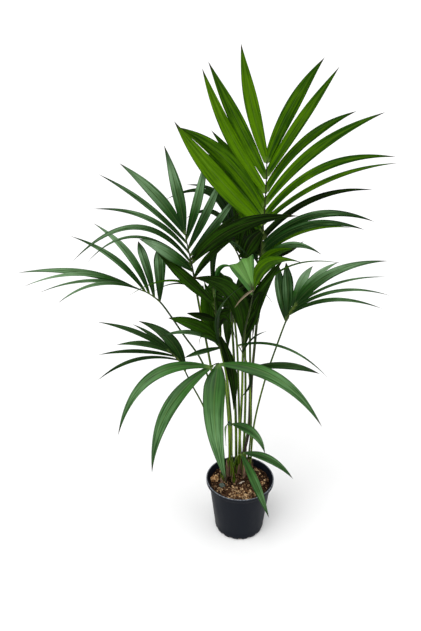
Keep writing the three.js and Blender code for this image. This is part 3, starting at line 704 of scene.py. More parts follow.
def add(tree, kind, sockets=None, **settings):
    """Adds a shader node, makes its settings, and sets or links its inputs by name or number.

    An input that is given a node is linked to the first of its outputs that is in use.
    """
    node = tree.nodes.new("ShaderNode" + kind)
    for key, value in settings.items():
        setattr(node, key, value)
    for key, value in (sockets or {}).items():
        if isinstance(value, bpy.types.Node):
            value = next(output for output in value.outputs if output.enabled)
        if isinstance(value, bpy.types.NodeSocket):
            tree.links.new(value, node.inputs[key])
        else:
            node.inputs[key].default_value = value
    return node


def blank_material(name, *marks):
    """A material, its tree, and the values that its mesh's points are marked with."""
    material = bpy.data.materials.new(name)
    material.use_nodes = True
    tree = material.node_tree
    tree.nodes.clear()
    values = [add(tree, "Attribute", attribute_name=mark).outputs["Fac"] for mark in marks]
    return material, tree, *values


def millimetres_of(tree):
    """A point's place in the object, in millimetres."""
    place = add(tree, "TexCoord").outputs["Object"]
    return add(tree, "Mapping", {"Vector": place, "Scale": [1 / MILLIMETRE] * 3})


def cloudy(tree, place, size, detail=2.0, roughness=0.5):
    """Cloudy noise whose patches have a size in millimetres, the same or one along each axis."""
    stretch = {"Vector": place, "Scale": (1 / np.full(3, size, float)).tolist()}
    sockets = {"Scale": 1.0, "Detail": detail, "Roughness": roughness}
    return add(tree, "TexNoise", sockets | {"Vector": add(tree, "Mapping", stretch)})


def shifted(tree, value, *patterns):
    """A value moved up and down by cloudy patterns.

    Each has the spread about its middle that it is read over, and its reach at the ends of it.
    """
    for pattern, spread, reach in patterns:
        ramp = (pattern, 0.5 - spread, 0.5 + spread, -reach, reach)
        value = add(tree, "Math", {0: value, 1: add(tree, "MapRange", dict(enumerate(ramp)))})
    return value


def layered(tree, base, *layers):
    """A colour with others laid over it in turn.

    A layer is its colour and one ramp or more, whose product is its share. A ramp is a value,
    the two ends between which it is read, and the shares at them.
    """
    for over, *ramps in layers:
        share, *others = (add(tree, "MapRange", dict(enumerate(ramp))) for ramp in ramps)
        for other in others:
            share = add(tree, "Math", {0: share, 1: other}, operation="MULTIPLY")
        base = add(tree, "Mix", {0: share, 6: base, 7: over}, data_type="RGBA")
    return base


def coated(tree, colour, relief, bump, rough, ior, shine):
    """A shader with a colour and a gloss, raised by a relief.

    bump is the strength of the relief and its depth in millimetres.
    """
    raised = {"Strength": bump[0], "Distance": bump[1] * MILLIMETRE, "Height": relief}
    sockets = {"Base Color": colour, "Normal": add(tree, "Bump", raised), "Roughness": rough}
    sockets |= {"IOR": ior, "Specular IOR Level": shine}
    return add(tree, "BsdfPrincipled", sockets)


def leaf_material(name, look, settings):
    """Palm leaflet: a waxed leathery blade with parallel veins, lit through when young.

    The wax gives a soft broad sheen, the pleats and veins give stripes about 6 and 1.3 mm wide
    along the blade, and the midrib shows as a pale line. A grey white painted sheen lies on the
    outer half, painted shade darkens the root and the arching end, the margin is dark, partly its
    own colour and partly painted shade, and the tip is withered brown. The UV map is in millimetres
    across and along the blade.
    """
    marks = ("tone", "along", "edge", "under")
    material, tree, own, along, edge, under = blank_material("Leaflet, " + name, *marks)
    deep, bright = getattr(settings, name + "_deep"), getattr(settings, name + "_bright")
    flat = add(tree, "UVMap", uv_map="Surface")
    spot = millimetres_of(tree)
    pleats = cloudy(tree, flat, (6.25, 167, 1))
    veins = cloudy(tree, flat, (1.333, 83.3, 1), 3.0, 0.6)
    patches = cloudy(tree, spot, 55.6)
    tone = shifted(tree, own, (pleats, 0.2, 0.5), (veins, 0.2, 0.35), (patches, 0.2, 0.15))
    coloured = layered(
        tree,
        deep,
        (bright, (tone, 0, 1, 0, 1)),
        # Painted shade: darker towards the root, inside the foliage.
        (deep, (along, 0.15, 0.7, look.root, 0)),
        # Painted sheen: grey white over the outer half of the brighter leaflets.
        (settings.painted_sheen, (along, 0.3, 0.7, 0, look.painted_sheen), (tone, 0.15, 1, 0, 1.8)),
        (settings.midrib, (edge, 0.02, 0.08, look.rib, 0)),
        # Dark margin: partly the margin's own colour, partly painted shade where the blade turns
        # down.
        (deep, (edge, 0.84, 0.98, 0, 0.6)),
        (settings.midrib, (under, 0, 1, 0, 0.15)),
        (settings.midrib, (along, 0, 0.05, 0.3, 0)),
        # Painted shade: the arching end of a darker leaflet darkens.
        (deep, (along, 0.7, 0.9, 0, 1), (own, 0.4, 0.65, look.end, 0.2 * look.end)),
        (settings.dry_tip, (along, 0.91, 0.97, 0, 1)),
    )
    ramp = (veins, 0.3, 0.7, look.rough - 0.05, look.rough + 0.1)
    gloss = add(tree, "MapRange", dict(enumerate(ramp)))
    blade = coated(tree, coloured, veins, bump=(0.5, 0.4), rough=gloss, ior=1.45, shine=look.shine)
    glow = add(tree, "Mix", {0: 0.5, 6: coloured, 7: bright}, data_type="RGBA")
    through = add(tree, "BsdfTranslucent", {"Color": glow})
    both = add(tree, "MixShader", {0: look.through, 1: blade, 2: through})
    add(tree, "OutputMaterial", {"Surface": both})
    return material


def stalk_material(settings):
    """Palm petiole: a smooth fibrous stalk, streaked lengthwise, going brown at its foot."""
    material, tree, own, brown = blank_material("Petiole, ribbed green", "tone", "brown")
    flat = add(tree, "UVMap", uv_map="Surface")
    spot = millimetres_of(tree)
    streaks = cloudy(tree, flat, (0.909, 50, 1), 3.0, 0.65)
    ribs = cloudy(tree, flat, (4.167, 167, 1))
    blotches = cloudy(tree, spot, 16.67, 3.0)
    coloured = layered(
        tree,
        settings.stalk,
        (settings.stalk_pale, (shifted(tree, own, (ribs, 0.12, 0.6)), 0, 1, 0, 1)),
        (settings.stalk, (blotches, 0.45, 0.75, 0, 0.3)),
        (settings.stalk_foot, (brown, 0, 1, 0, 1)),
    )
    skin = coated(tree, coloured, streaks, bump=(0.4, 0.3), rough=0.42, ior=1.45, shine=0.2)
    add(tree, "OutputMaterial", {"Surface": skin})
    return material


def sheath_material(settings):
    """Palm leaf sheath: a dry net of brown bast fibres, green where it is still alive.

    The fibres are strands about 1 mm wide and 17 mm long. The grooves between the fused stalks are
    darkened with painted shade.
    """
    marks = ("green", "groove")
    material, tree, green, groove = blank_material("Leaf sheath, bast fibre", *marks)
    flat = add(tree, "UVMap", uv_map="Surface")
    spot = millimetres_of(tree)
    strands = cloudy(tree, flat, (1.111, 16.67, 1), 4.0, 0.7)
    alive = layered(tree, settings.sheath_green, (settings.fibre, (strands, 0.3, 0.7, 0, 0.5)))
    share = shifted(tree, green, (cloudy(tree, spot, 14.29), 0.3, 0.4))
    coloured = layered(
        tree,
        settings.fibre,
        (settings.fibre_pale, (strands, 0.4, 0.66, 0, 1)),
        (alive, (share, 0.35, 0.65, 0, 1)),
        # Painted shade: dark brown in the grooves between the fused stalks.
        (settings.groove, (groove, 0.25, 0.8, 0, 0.85)),
    )
    bast = coated(tree, coloured, strands, bump=(0.8, 0.8), rough=0.85, ior=1.4, shine=0.15)
    add(tree, "OutputMaterial", {"Surface": bast})
    return material


def plastic_material(settings):
    """Nursery pot polypropylene: blow-moulded and matt, pale on the rim's edge with scuffs and a
    painted highlight.

    The mould's grain is about 1 mm wide, and the scratches are about 6 mm apart.
    """
    material, tree = blank_material("Polypropylene, scuffed")
    spot = millimetres_of(tree)
    height = add(tree, "SeparateXYZ", {"Vector": spot}).outputs["Z"]
    smears = cloudy(tree, spot, (22.22, 22.22, 74.07), 4.0)
    scratches = cloudy(tree, spot, 6.25, 4.0, 0.7)
    grain = cloudy(tree, spot, 1.111)
    # The rim's top 2.2 mm turns pale grey where the scratches show: partly real scuffs, partly a
    # painted highlight.
    pale_rim_from = POT["height"] - 2.2
    near_rim = (height, pale_rim_from, POT["height"], 0, 1)
    coloured = layered(
        tree,
        settings.plastic,
        (settings.dust, (smears, 0.5, 0.8, 0, 0.35)),
        # Scuffs and painted highlight on the rim's top.
        (settings.scuffed, near_rim, (scratches, 0.35, 0.6, 0.15, 1)),
    )
    gloss = add(tree, "MapRange", dict(enumerate((smears, 0.3, 0.8, 0.42, 0.62))))
    shell = coated(tree, coloured, grain, bump=(0.12, 0.2), rough=gloss, ior=1.49, shine=0.08)
    add(tree, "OutputMaterial", {"Surface": shell})
    return material


def crumb_material(name, colours, pit, rough=0.95):
    """Loose mineral or bark crumb: dull and pitted, mottled between three colours.

    A pit has a width in millimetres, and a point's tone shifts which of the colours it shows.
    """
    material, tree, own = blank_material(name, "tone")
    spot = millimetres_of(tree)
    share = shifted(tree, own, (cloudy(tree, spot, pit / 0.3, 4.0, 0.65), 0.2, 0.35))
    low, middle, high = colours
    coloured = layered(tree, low, (middle, (share, 0, 0.5, 0, 1)), (high, (share, 0.5, 1, 0, 1)))
    pits = cloudy(tree, spot, pit, 3.0, 0.6)
    dull = coated(tree, coloured, pits, bump=(0.7, pit / 2), rough=rough, ior=1.4, shine=0.1)
    add(tree, "OutputMaterial", {"Surface": dull})
    return material


# ---- shapes of the palm --------------------------------------------------------------------


def spine(frond):
    """The points that a frond's line passes, and the share of its legs where the rachis starts."""
    palm = PALMS[frond.palm]
    angle = np.radians(frond.side)
    height = SOIL["top"] + palm["height"]
    foot = np.array([palm["x"], palm["y"], height - STEM["cup_depth"]], float)
    foot[:2] += palm["ring"] * np.array([np.cos(angle), np.sin(angle)])
    mouth = foot + (0, 0, STEM["cup_depth"])
    route = [seen((px, py), back) for px, py, back in (*frond.petiole, *frond.rachis)]
    points = np.array([foot, mouth, *route])
    return points, (len(frond.petiole) + 1) / (len(points) - 1)


def stalk(line, radii, facing, brown, tone, around=14):
    """A stalk: a profile carried along a line, round below and flattened on its upper side.

    The profile's radius is the full one less a fifth of the fourth power of how far it points
    up, which gives a petiole its shallow channel.
    """
    tangents, normals, sides = frames_along(line, facing)
    turn = full_turn(around)
    up = -np.sin(turn)
    radius = radii[:, None] * (1 - 0.2 * np.maximum(up, 0) ** 4)
    outwards = (radius * np.cos(turn))[..., None] * sides[:, None]
    rings = line[:, None] + outwards + (radius * up)[..., None] * normals[:, None]
    steps = np.linalg.norm(np.diff(line, axis=0), axis=1)
    run = np.concatenate([[0], np.cumsum(steps)])
    return close_tubes(
        rings[None],
        line[:1] - tangents[:1] * radii[0] * 0.3,
        line[-1:] + tangents[-1:] * radii[-1] * 0.5,
        u=(radii[:, None] * turn)[None],
        v=run[None, :, None],
        brown=brown[None, :, None],
        tone=tone,
    )


def leaflets(frond, settings, stations=30, columns=14):
    """All blades of a frond as one surface.

    A blade's line is the parabola from its root to its tip past a point on the way. Across it
    the width swells as a sine and closes as a cosine; the section is folded along the midrib,
    pleated by a cosine whose waves are a vein apart, wavy at its margins, and as thick as half
    an ellipse on each side.
    """
    rows = frond.leaflets
    points, joint = spine(frond)
    inward = ROOTS[0] + np.array([row.along for row in rows]) * (ROOTS[1] - ROOTS[0])
    roots = smooth_line(points, joint + inward * (1 - joint))
    tips = np.array([seen(row.tip, row.back) for row in rows])
    overs = [seen(row.over, (root[1] + row.back) / 2) for root, row in zip(roots, rows)]
    overs = np.array(overs)
    reach = np.linalg.norm(overs - roots, axis=1, keepdims=True)
    share = reach / (reach + np.linalg.norm(tips - overs, axis=1, keepdims=True))
    bends = (overs - (1 - share) ** 2 * roots - share**2 * tips) / (2 * share * (1 - share))
    s = np.linspace(0, 1, stations + 1)[:-1]
    t = s[None, :, None]
    lines = (1 - t) ** 2 * roots[:, None] + 2 * t * (1 - t) * bends[:, None] + t**2 * tips[:, None]
    tangents, normals, sides = frames_along(lines, unit(np.array(frond.faces, float)))

    widths = np.array([row.width for row in rows], float)[:, None]
    peak = np.array([row.peak or frond.widest_at for row in rows])[:, None]
    rise = np.sin(np.pi / 2 * np.minimum(s / peak, 1))
    fall = np.cos(np.pi / 2 * np.maximum((s - peak) / (1 - peak), 0))
    root_width = np.minimum(frond.root_width, widths)
    growing = root_width + (widths - root_width) * rise
    half = np.where(s < peak, growing, widths * fall) / 2

    # Each blade starts its waves elsewhere, by its length and its place among the others.
    spans = np.linalg.norm(tips - roots, axis=1)
    start = np.sin(spans * 12.9898 + np.arange(len(rows)) * 78.233) * np.pi
    roll = np.radians([row.roll for row in rows])[:, None]
    roll = roll + BLADE["twist"] * np.sin(1.5 * np.pi * s + start[:, None])
    cos, sin = np.cos(roll)[..., None], np.sin(roll)[..., None]
    across, out = cos * sides - sin * normals, cos * normals + sin * sides

    v, upper = strip_section(columns)
    waves = np.maximum(np.round(widths / (settings.vein_spacing / MILLIMETRE)), 2)[..., None]
    grown = smoothstep(s / 0.15)[None, :, None]
    pleats = BLADE["pleat"] * grown * np.cos(2 * np.pi * waves * v / 2) * (1 - v**2)
    ripple = np.sin(7 * s[:, None] + start[:, None, None] + 2 * v)
    margin = BLADE["margin"] * half[..., None] * v**2 * ripple
    fold = -2 * BLADE["fold"] * half[..., None] * np.abs(v) ** 1.2
    thick = settings.thickness / MILLIMETRE / 2 * (1 - 0.4 * s)[None, :, None] * upper
    lift = fold + pleats + margin + thick
    spread = (half[..., None] * v)[..., None] * across[:, :, None]
    rings = lines[:, :, None] + spread + lift[..., None] * out[:, :, None]
    looks = [list(LOOKS).index(row.look or frond.look) for row in rows]
    return close_tubes(
        rings,
        roots - 0.4 * root_width * tangents[:, 0],
        tips,
        u=(widths[..., None] / 2) * v,
        v=(spans[:, None] * s)[..., None],
        tone=np.array([row.tone for row in rows])[:, None, None],
        along=s[None, :, None],
        edge=np.abs(v),
        under=(upper < 0).astype(float),
        look=np.array(looks)[:, None, None],
        brown=0.0,
    )


# ---- shapes of the pot and the soil --------------------------------------------------------


def pot_radius(z):
    """The pot's outer radius at a height: a straight taper over a heel that is half an ellipse."""
    share = (z - POT["heel_height"]) / (POT["height"] - POT["rim_depth"] - POT["heel_height"])
    wall = POT["heel_radius"] + share * (POT["neck_radius"] - POT["heel_radius"])
    drop = 1 - np.clip(z / POT["heel_height"], 0, 1)
    heel = POT["foot_radius"] + (POT["heel_radius"] - POT["foot_radius"]) * np.sqrt(1 - drop**2)
    return np.where(z < POT["heel_height"], heel, wall)


def pot_wall(heights, inwards=0.0):
    """Pairs of radius and height up the pot's outside, or so far inwards of it."""
    return [(float(pot_radius(z)) - inwards, z) for z in heights]


def soil_height(x, y, inner_wall):
    """A low mound whose lumps are a sum of sine waves, and which falls off at the rim."""
    out = np.hypot(x, y) / (pot_radius(SOIL["top"]) - inner_wall)
    lumps = sum(
        share * np.sin(over_x * x + over_y * y + start) for over_x, over_y, start, share in WAVES
    )
    mound = SOIL["top"] + SOIL["crown"] * (1 - out**2) - SOIL["rim_fall"] * out**6
    return mound + SOIL["bump"] * lumps


def clear_share(x, y):
    """How far a place is from what lies on the soil: 0 in its middle and 1 clear of it."""
    share = np.ones_like(x)
    for row in LUMPS.values():
        place = seen(row["at"], row["back"])
        away = np.hypot(x - place[0], y - place[1]) / max(row["half"])
        share = np.minimum(share, smoothstep((away - 0.7) / 0.6))
    return share


def pale_front_share(x, y):
    """How pale the soil is: a bell across the pot that grows towards its front."""
    return np.exp(-(((x + 4) / 45) ** 2)) * np.clip((-15 - y) / 35, 0, 1)


def scattered(rng, edge, count):
    """Places scattered evenly over a round of a given radius."""
    out, turn = edge * np.sqrt(rng.uniform(0, 1, count)), rng.uniform(0, 2 * np.pi, count)
    return out * np.cos(turn), out * np.sin(turn)


# ---- operators -----------------------------------------------------------------------------


class PALM_OT_stage(bpy.types.Operator):
    """Makes the floor, the lamps and the camera at the photograph's place"""

    bl_idname = "palm.stage"
    bl_label = "Stage"

    def execute(self, context):
        settings = context.scene.palm_stage
        self.add_floor(settings)
        self.add_sky(context.scene, settings)
        self.add_light("key", (-0.9, -1.2, 2.4), 50, settings.key_power)
        self.add_light("fill", (1.8, -0.8, 1.6), 60, settings.fill_power)
        self.add_camera(context.scene)
        context.scene.view_settings.view_transform = "Standard"
        return {"FINISHED"}

    def add_floor(self, settings):
        """A square floor of painted board."""
        half = settings.floor_size / 2
        mesh = bpy.data.meshes.new("floor")
        corners = [(-half, -half, 0), (half, -half, 0), (half, half, 0), (-half, half, 0)]
        mesh.from_pydata(corners, [], [(0, 1, 2, 3)])
        material, tree = blank_material("Painted board")
        board = add(tree, "BsdfPrincipled", {"Base Color": settings.floor, "Roughness": 0.9})
        add(tree, "OutputMaterial", {"Surface": board})
        mesh.materials.append(material)
        floor = bpy.data.objects.new("floor", mesh)
        bpy.context.scene.collection.objects.link(floor)

    def add_sky(self, scene, settings):
        """The same white light from every side."""
        world = bpy.data.worlds.new("Even white light")
        world.use_nodes = True
        sky = world.node_tree.nodes["Background"]
        sky.inputs["Color"].default_value = (1, 1, 1, 1)
        sky.inputs["Strength"].default_value = settings.sky
        scene.world = world

    def add_light(self, name, away, breadth, power):
        """A soft far light: the way it comes from, and how broad it looks in degrees."""
        light = bpy.data.lights.new(name, "SUN")
        light.angle = np.radians(breadth)
        light.energy = power
        held = bpy.data.objects.new(name, light)
        held.location = away
        held.rotation_euler = Vector(away).to_track_quat("Z", "Y").to_euler()
        bpy.context.scene.collection.objects.link(held)

    def add_camera(self, scene):
        """The camera at the photograph's eye. Its sensor width lies along the frame's long side."""
        lens = bpy.data.cameras.new("camera")
        lens.lens = lens.sensor_width * EYE["focal_pixels"] / max(PHOTO)
        camera = bpy.data.objects.new("camera", lens)
        camera.location = np.array(EYE["at"]) * MILLIMETRE
        camera.rotation_euler = (np.radians(90 - EYE["down_degrees"]), 0, 0)
        scene.collection.objects.link(camera)
        scene.camera = camera


class PALM_OT_pot(bpy.types.Operator):
    """Makes the nursery pot with its rolled rim and the drain notches in its heel"""

    bl_idname = "palm.pot"
    bl_label = "Pot"

    def execute(self, context):
        settings = context.scene.palm_pot
        scallop = settings.scallop / MILLIMETRE
        notch_height = 9.0
        notch_end = 10.0  # over how much of the foot's radius a notch fades inwards
        around = 192

        def notched(radius, z, turn):
            """Bites into the heel: half waves of the turn, deepest at the foot."""
            bite = np.maximum(np.cos(settings.notches * turn), 0) ** 0.7
            outside = smoothstep((radius - POT["foot_radius"] * 0.8) / notch_end)
            low = smoothstep(1 - z / notch_height)
            return radius - scallop * bite * low * outside

        rings, first, last = turned(self.profile(settings.wall / MILLIMETRE), around, notched)
        surface = close_tubes(rings[None], first, last)
        make_piece("nursery_pot", surface, [plastic_material(settings)], ["pot"])
        return {"FINISHED"}

    def profile(self, wall):
        """From under the foot up the outside, over the rolled lip and down the inside."""
        height, rim, roll, floor = POT["height"], POT["rim_radius"], POT["rim_roll"], POT["floor"]
        rim_foot = height - POT["rim_depth"]
        heel = np.sin(np.linspace(0, np.pi / 2, 9)) * POT["heel_height"]
        side = np.linspace(POT["heel_height"], rim_foot, 12)[1:]
        # The rim's underside: a radius, and how far above the rim's foot it lies.
        step = [(POT["neck_radius"] + 1.5, 0.2), (rim - 1.2, 0.4), (rim - 0.3, 1.4)]
        bend = np.linspace(0, np.pi, 9)
        return [
            (NEAR_AXIS, 0.0),
            (POT["foot_radius"] * 0.6, 0.0),
            *pot_wall((*heel, *side)),
            *((radius, rim_foot + up) for radius, up in step),
            *((rim - roll + roll * np.cos(a), height - roll + roll * np.sin(a)) for a in bend),
            (rim - 2.4 * roll, height - 2.5 * roll),
            *pot_wall((rim_foot, height / 2, POT["heel_height"], floor), wall),
            (NEAR_AXIS, floor),
        ]


class PALM_OT_soil(bpy.types.Operator):
    """Makes the soil's mound and the loose grains that cover it"""

    bl_idname = "palm.soil"
    bl_label = "Soil"

    def execute(self, context):
        settings = context.scene.palm_soil
        wall = context.scene.palm_pot.wall / MILLIMETRE
        rng = np.random.default_rng(7)
        damp = [settings.peat, settings.clod]
        peat = crumb_material("Potting soil, peat and bark", [*damp, settings.grit], 1.5)
        self.make_mound(wall, rng, peat)
        grit = crumb_material("Clay grit", [*damp, settings.pale_grit], 0.9)
        self.make_grains(wall, rng, settings, grit)
        return {"FINISHED"}

    def make_mound(self, wall, rng, material, across=70, around=200):
        """The soil's body: its top is the mound's formula raised by small domes."""
        side = pot_wall(SOIL["side_heights"], wall + SOIL["gap"])
        edge = float(pot_radius(SOIL["top"])) - wall - SOIL["gap"]
        inwards = edge * np.linspace(1, 0.01, across)
        profile = [(NEAR_AXIS, side[0][1]), *side, *((radius, SOIL["top"]) for radius in inwards)]
        rings, first, last = turned(profile, around)
        top = rings[len(side) + 1 :]
        x, y = top[..., 0], top[..., 1]
        top[..., 2] = soil_height(x, y, wall) + self.domes(x, y, edge, rng) * clear_share(x, y)
        last[:, 2] = top[-1, :, 2].mean()
        x, y = rings[..., 0], rings[..., 1]
        tone = 0.2 + 0.08 * np.sin(0.05 * x) + 0.5 * pale_front_share(x, y)
        surface = close_tubes(rings[None], first, last, tone=tone[None])
        make_piece("potting_soil", surface, [material], ["soil"])

    def domes(self, x, y, edge, rng, count=420):
        """Clods: the highest of many half balls, each sunk by a third, scattered evenly."""
        radii = rng.uniform(1.5, 4.5, count)
        raised = np.zeros_like(x)
        for radius, centre_x, centre_y in zip(radii, *scattered(rng, edge, count)):
            square = radius**2 - (x - centre_x) ** 2 - (y - centre_y) ** 2
            raised = np.maximum(raised, np.sqrt(np.maximum(square, 0)) - radius / 3)
        return raised

    def make_grains(self, wall, rng, settings, material, margin=3.0):
        """Loose grains: small crooked balls of few faces, tan at the front and darker behind."""
        count = settings.grains
        x, y = scattered(rng, float(pot_radius(SOIL["top"])) - wall - margin, count)
        size = settings.grain_size / MILLIMETRE / 2 * rng.lognormal(0, 0.5, count)
        size = np.clip(size, 0.9, 5.0) * (0.25 + 0.75 * clear_share(x, y))
        z = soil_height(x, y, wall) + 0.7 * size
        latitude = np.radians([-50, 0, 50])[:, None]
        shape = ball(latitude, full_turn(6))
        lumps = 1 + rng.uniform(-0.22, 0.22, (count, *shape.shape[:2], 1))
        stretch = rng.uniform(0.7, 1.2, (count, 1, 1, 3))
        centres = np.stack([x, y, z], axis=-1)
        rings = centres[:, None, None] + shape * lumps * stretch * size[:, None, None, None]
        pole = np.array([0, 0, 1]) * (size * stretch[:, 0, 0, 2])[:, None]
        tone = np.clip(0.3 + 0.5 * pale_front_share(x, y) + rng.normal(0, 0.28, count), 0, 1)
        surface = close_tubes(rings, centres - pole, centres + pole, tone=tone[:, None, None])
        make_piece("soil_grains", surface, [material], [])


class PALM_OT_lumps(bpy.types.Operator):
    """Makes the bark, the pebble and the twig that lie half sunk on the soil"""

    bl_idname = "palm.lumps"
    bl_label = "Bark, pebble and twig"

    def execute(self, context):
        settings = context.scene.palm_soil
        wall = context.scene.palm_pot.wall / MILLIMETRE
        bark = [settings.clod, settings.grit, settings.pale_grit]
        stone = [settings.stone_deep, settings.stone, settings.stone]
        wood = [settings.clod, settings.twig, settings.twig]
        kinds = {
            "bark_lump": ("lump", "Coconut husk", bark, 1.2),
            "grey_pebble": ("pebble", "River stone", stone, 2.0, 0.7),
            "pale_twig": ("twig", "Barked twig", wood, 1.0, 0.8),
            "small_lump": ("lump", "Bark chip", bark, 1.0),
        }
        for name, (slot, *finish) in kinds.items():
            surface = self.lump(LUMPS[name], wall)
            make_piece(name + "_piece", surface, [crumb_material(*finish)], [name])
        return {"FINISHED"}

    def lump(self, row, wall, stations=26, around=36):
        """A ball pressed out of round, whose radius is shaken by three sets of sine waves."""
        centre = seen(row["at"], row["back"])
        centre[2] = soil_height(centre[0], centre[1], wall) + LUMP_RISE * row["half"][2]
        latitude = np.linspace(-np.pi / 2, np.pi / 2, stations + 2)[1:-1, None]
        shape = ball(latitude, full_turn(around))
        x, y, z = np.moveaxis(shape, -1, 0)
        waves = (3.1, 6.7, 12.3)
        shake = sum(np.sin(k * x + k) * np.sin(k * y + 1) * np.cos(k * z) for k in waves)
        swollen = shape * (1 + row["rough"] * shake[..., None]) * np.array(row["half"])
        x, y, z = np.moveaxis(swollen, -1, 0)
        angle = np.radians(row["turn"])
        cos, sin = np.cos(angle), np.sin(angle)
        rings = np.stack([x * cos - y * sin, x * sin + y * cos, z], axis=-1) + centre
        first, last = rings[0].mean(axis=0), rings[-1].mean(axis=0)
        return close_tubes(rings[None], first[None], last[None], tone=(0.5 + 0.5 * shake)[None])


class PALM_OT_sheaths(bpy.types.Operator):
    """Makes the fibrous sheath at the foot of each young palm"""

    bl_idname = "palm.sheaths"
    bl_label = "Sheaths"

    def execute(self, context):
        materials = [sheath_material(context.scene.palm_stems)]
        for number, (name, palm) in enumerate(PALMS.items()):
            surface = self.sheath(palm, number)
            replaced = [name + "_sheath"]
            make_piece(name + "_fibre", surface, materials, replaced, uv=("u", "v"))
        return {"FINISHED"}

    def sheath(self, palm, number):
        """A stem and three old leaf bases round it, each a strip that narrows to a point."""
        centre = np.array([palm["x"], palm["y"], 0.0])
        outer = palm["bore"] + STEM["wall"]
        top = SOIL["top"] + palm["height"]
        body = self.body(centre, outer - 1.2, top, number)
        scales = [self.scale(centre, outer, palm["height"], number, k) for k in range(3)]
        return joined([body, *scales])

    def body(self, centre, radius, top, number, around=60):
        """A ribbed stem whose top is a shallow dish."""
        bottom = SOIL["top"] - STEM["buried"]
        heights = np.concatenate([[bottom], np.linspace(SOIL["top"] - 5, top - 1.5, 14)])
        taper = np.concatenate([[STEM["foot_radius"] / radius], np.linspace(1.04, 0.96, 14)])
        profile = [(radius * t, z) for t, z in zip(taper, heights)]
        profile += [(radius * 0.9, top), (radius * 0.8, top - 0.5), (radius * 0.4, top - 3)]
        turn = full_turn(around)
        fused = np.abs(np.sin(2.5 * turn + number))

        def ribbed(radii, z, turn):
            """Five fused stalks and the ribs of their fibres: sine waves round the stem."""
            ribs = np.sin(19 * turn + 0.05 * z + number)
            return radii * (0.88 + 0.14 * fused + 0.012 * ribs)

        rings, first, last = turned(profile, around, ribbed)
        height = rings[..., 2]
        share = (height - SOIL["top"]) / (top - SOIL["top"])
        return close_tubes(
            (rings + centre)[None],
            first + centre,
            last + centre,
            u=radius * turn,
            v=height[None],
            green=(0.55 * fused + 0.35 * share)[None],
            # Where painted shade falls, in the grooves between the fused stalks.
            groove=1 - fused,
        )

    def scale(self, centre, outer, height, number, k, stations=22, columns=10):
        """An old leaf base: a strip of the stem's round whose half angle closes to its tip."""
        tall = height * (1.25 - 0.3 * k) + 12
        foot = SOIL["top"] - 6
        s = np.linspace(0, 1, stations + 1)[:-1, None]
        v, upper = strip_section(columns)
        facing = 2.1 * k + 1.7 * number
        angle = facing - 0.62 * (1 - s**2.2) * v
        lean = outer - 0.6 + 0.5 * k + 2.0 * s**3
        radius = lean + 0.5 * upper * (1 - 0.5 * s) + 0.25 * np.sin(9 * angle)
        z = foot + tall * s + 0 * angle
        ragged = 1.2 * np.sin(5 * angle + number) * s
        rings = np.stack([radius * np.cos(angle), radius * np.sin(angle), z + ragged], axis=-1)
        rings = rings + centre
        reach = outer + 1.4
        first = rings[0].mean(axis=0)
        last = centre + [reach * np.cos(facing), reach * np.sin(facing), foot + tall]
        marks = {"u": outer * angle, "v": z, "green": 0.0, "groove": 0.0}
        return close_tubes(rings[None], first[None], last[None], **marks)


class PALM_OT_stalks(bpy.types.Operator):
    """Makes the petioles that carry the fronds"""

    bl_idname = "palm.stalks"
    bl_label = "Petioles"

    def execute(self, context):
        materials = [stalk_material(context.scene.palm_stems)]
        foot_radius, top_radius = PETIOLE["foot_radius"], PETIOLE["top_radius"]
        s = np.linspace(0, 1, 60)
        for name, frond in FRONDS.items():
            points, joint = spine(frond)
            line = smooth_line(points, s * joint)
            radii = frond.girth * (foot_radius + s * (top_radius - foot_radius))
            most, end = (0.95, 0.55) if name == "crown" else (0.25, 0.12)
            brown = most * (1 - smoothstep((s - end * 0.6) / end))
            surface = stalk(line, radii, frond.faces, brown, frond.tone)
            replaced = [name + "_petiole"]
            make_piece(name + "_stalk", surface, materials, replaced, uv=("u", "v"))
        return {"FINISHED"}


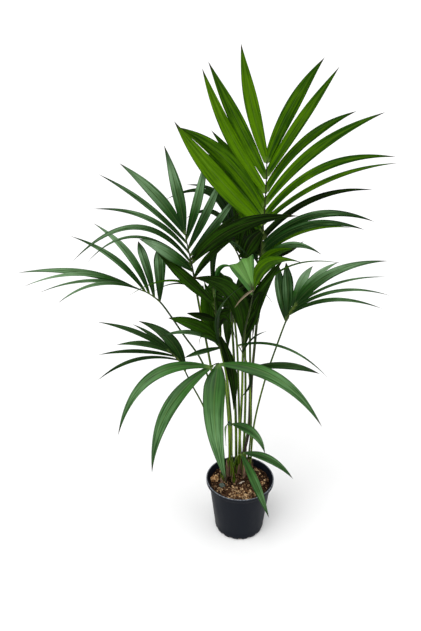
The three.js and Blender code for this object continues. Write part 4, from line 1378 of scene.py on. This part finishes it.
class PALM_OT_fronds(bpy.types.Operator):
    """Makes the leaflets of each frond on their rachis"""

    bl_idname = "palm.fronds"
    bl_label = "Fronds"

    def execute(self, context):
        settings = context.scene.palm_leaves
        materials = [leaf_material(name, look, settings) for name, look in LOOKS.items()]
        materials.append(stalk_material(context.scene.palm_stems))
        for name, frond in FRONDS.items():
            surface = joined([leaflets(frond, settings), self.rachis(frond)])
            replaced = [name + "_frond"]
            make_piece(name + "_leaves", surface, materials, replaced, "look", ("u", "v"))
        return {"FINISHED"}

    def rachis(self, frond):
        """The frond's midline, which tapers from the petiole's end."""
        points, joint = spine(frond)
        s = np.linspace(0, 1, 36)
        line = smooth_line(points, joint + s * (1 - joint))
        start = frond.girth * PETIOLE["top_radius"]
        radii = start + s * (PETIOLE["end_radius"] - start)
        brown = np.full_like(s, RACHIS_BROWN)
        made = stalk(line, radii, frond.faces, brown, 0.3 * frond.tone, around=10)
        extra = {"along": 0.5, "edge": 0.5, "under": 0.0, "look": len(LOOKS)}
        spread = {mark: np.full(len(made.points), value) for mark, value in extra.items()}
        return made._replace(marks=made.marks | spread)


class PALM_PT_panel(bpy.types.Panel):
    """Lists the steps that dress the frame, in their order"""

    bl_label = "Potted palm"
    bl_idname = "PALM_PT_panel"
    bl_space_type = "VIEW_3D"
    bl_region_type = "UI"
    bl_category = "Palm"

    def draw(self, context):
        for operator in OPERATORS:
            self.layout.operator(operator.bl_idname)


GROUPS = {
    "palm_leaves": PalmLeafSettings,
    "palm_stems": PalmStemSettings,
    "palm_pot": PalmPotSettings,
    "palm_soil": PalmSoilSettings,
    "palm_stage": PalmStageSettings,
}
OPERATORS = (
    PALM_OT_stage,
    PALM_OT_pot,
    PALM_OT_soil,
    PALM_OT_lumps,
    PALM_OT_sheaths,
    PALM_OT_stalks,
    PALM_OT_fronds,
)


def register():
    """Registers the settings, the operators and the panel."""
    for group in GROUPS.values():
        bpy.utils.register_class(group)
    for name, group in GROUPS.items():
        setattr(bpy.types.Scene, name, PointerProperty(type=group))
    for kind in (*OPERATORS, PALM_PT_panel):
        bpy.utils.register_class(kind)


def unregister():
    """Takes away what register made."""
    for kind in reversed((*OPERATORS, PALM_PT_panel)):
        bpy.utils.unregister_class(kind)
    for name, group in GROUPS.items():
        delattr(bpy.types.Scene, name)
        bpy.utils.unregister_class(group)


def main():
    """Dresses the frame."""
    register()
    bpy.ops.palm.stage()
    bpy.ops.palm.pot()
    bpy.ops.palm.soil()
    bpy.ops.palm.lumps()
    bpy.ops.palm.sheaths()
    bpy.ops.palm.stalks()
    bpy.ops.palm.fronds()


if __name__ == "__main__":
    main()
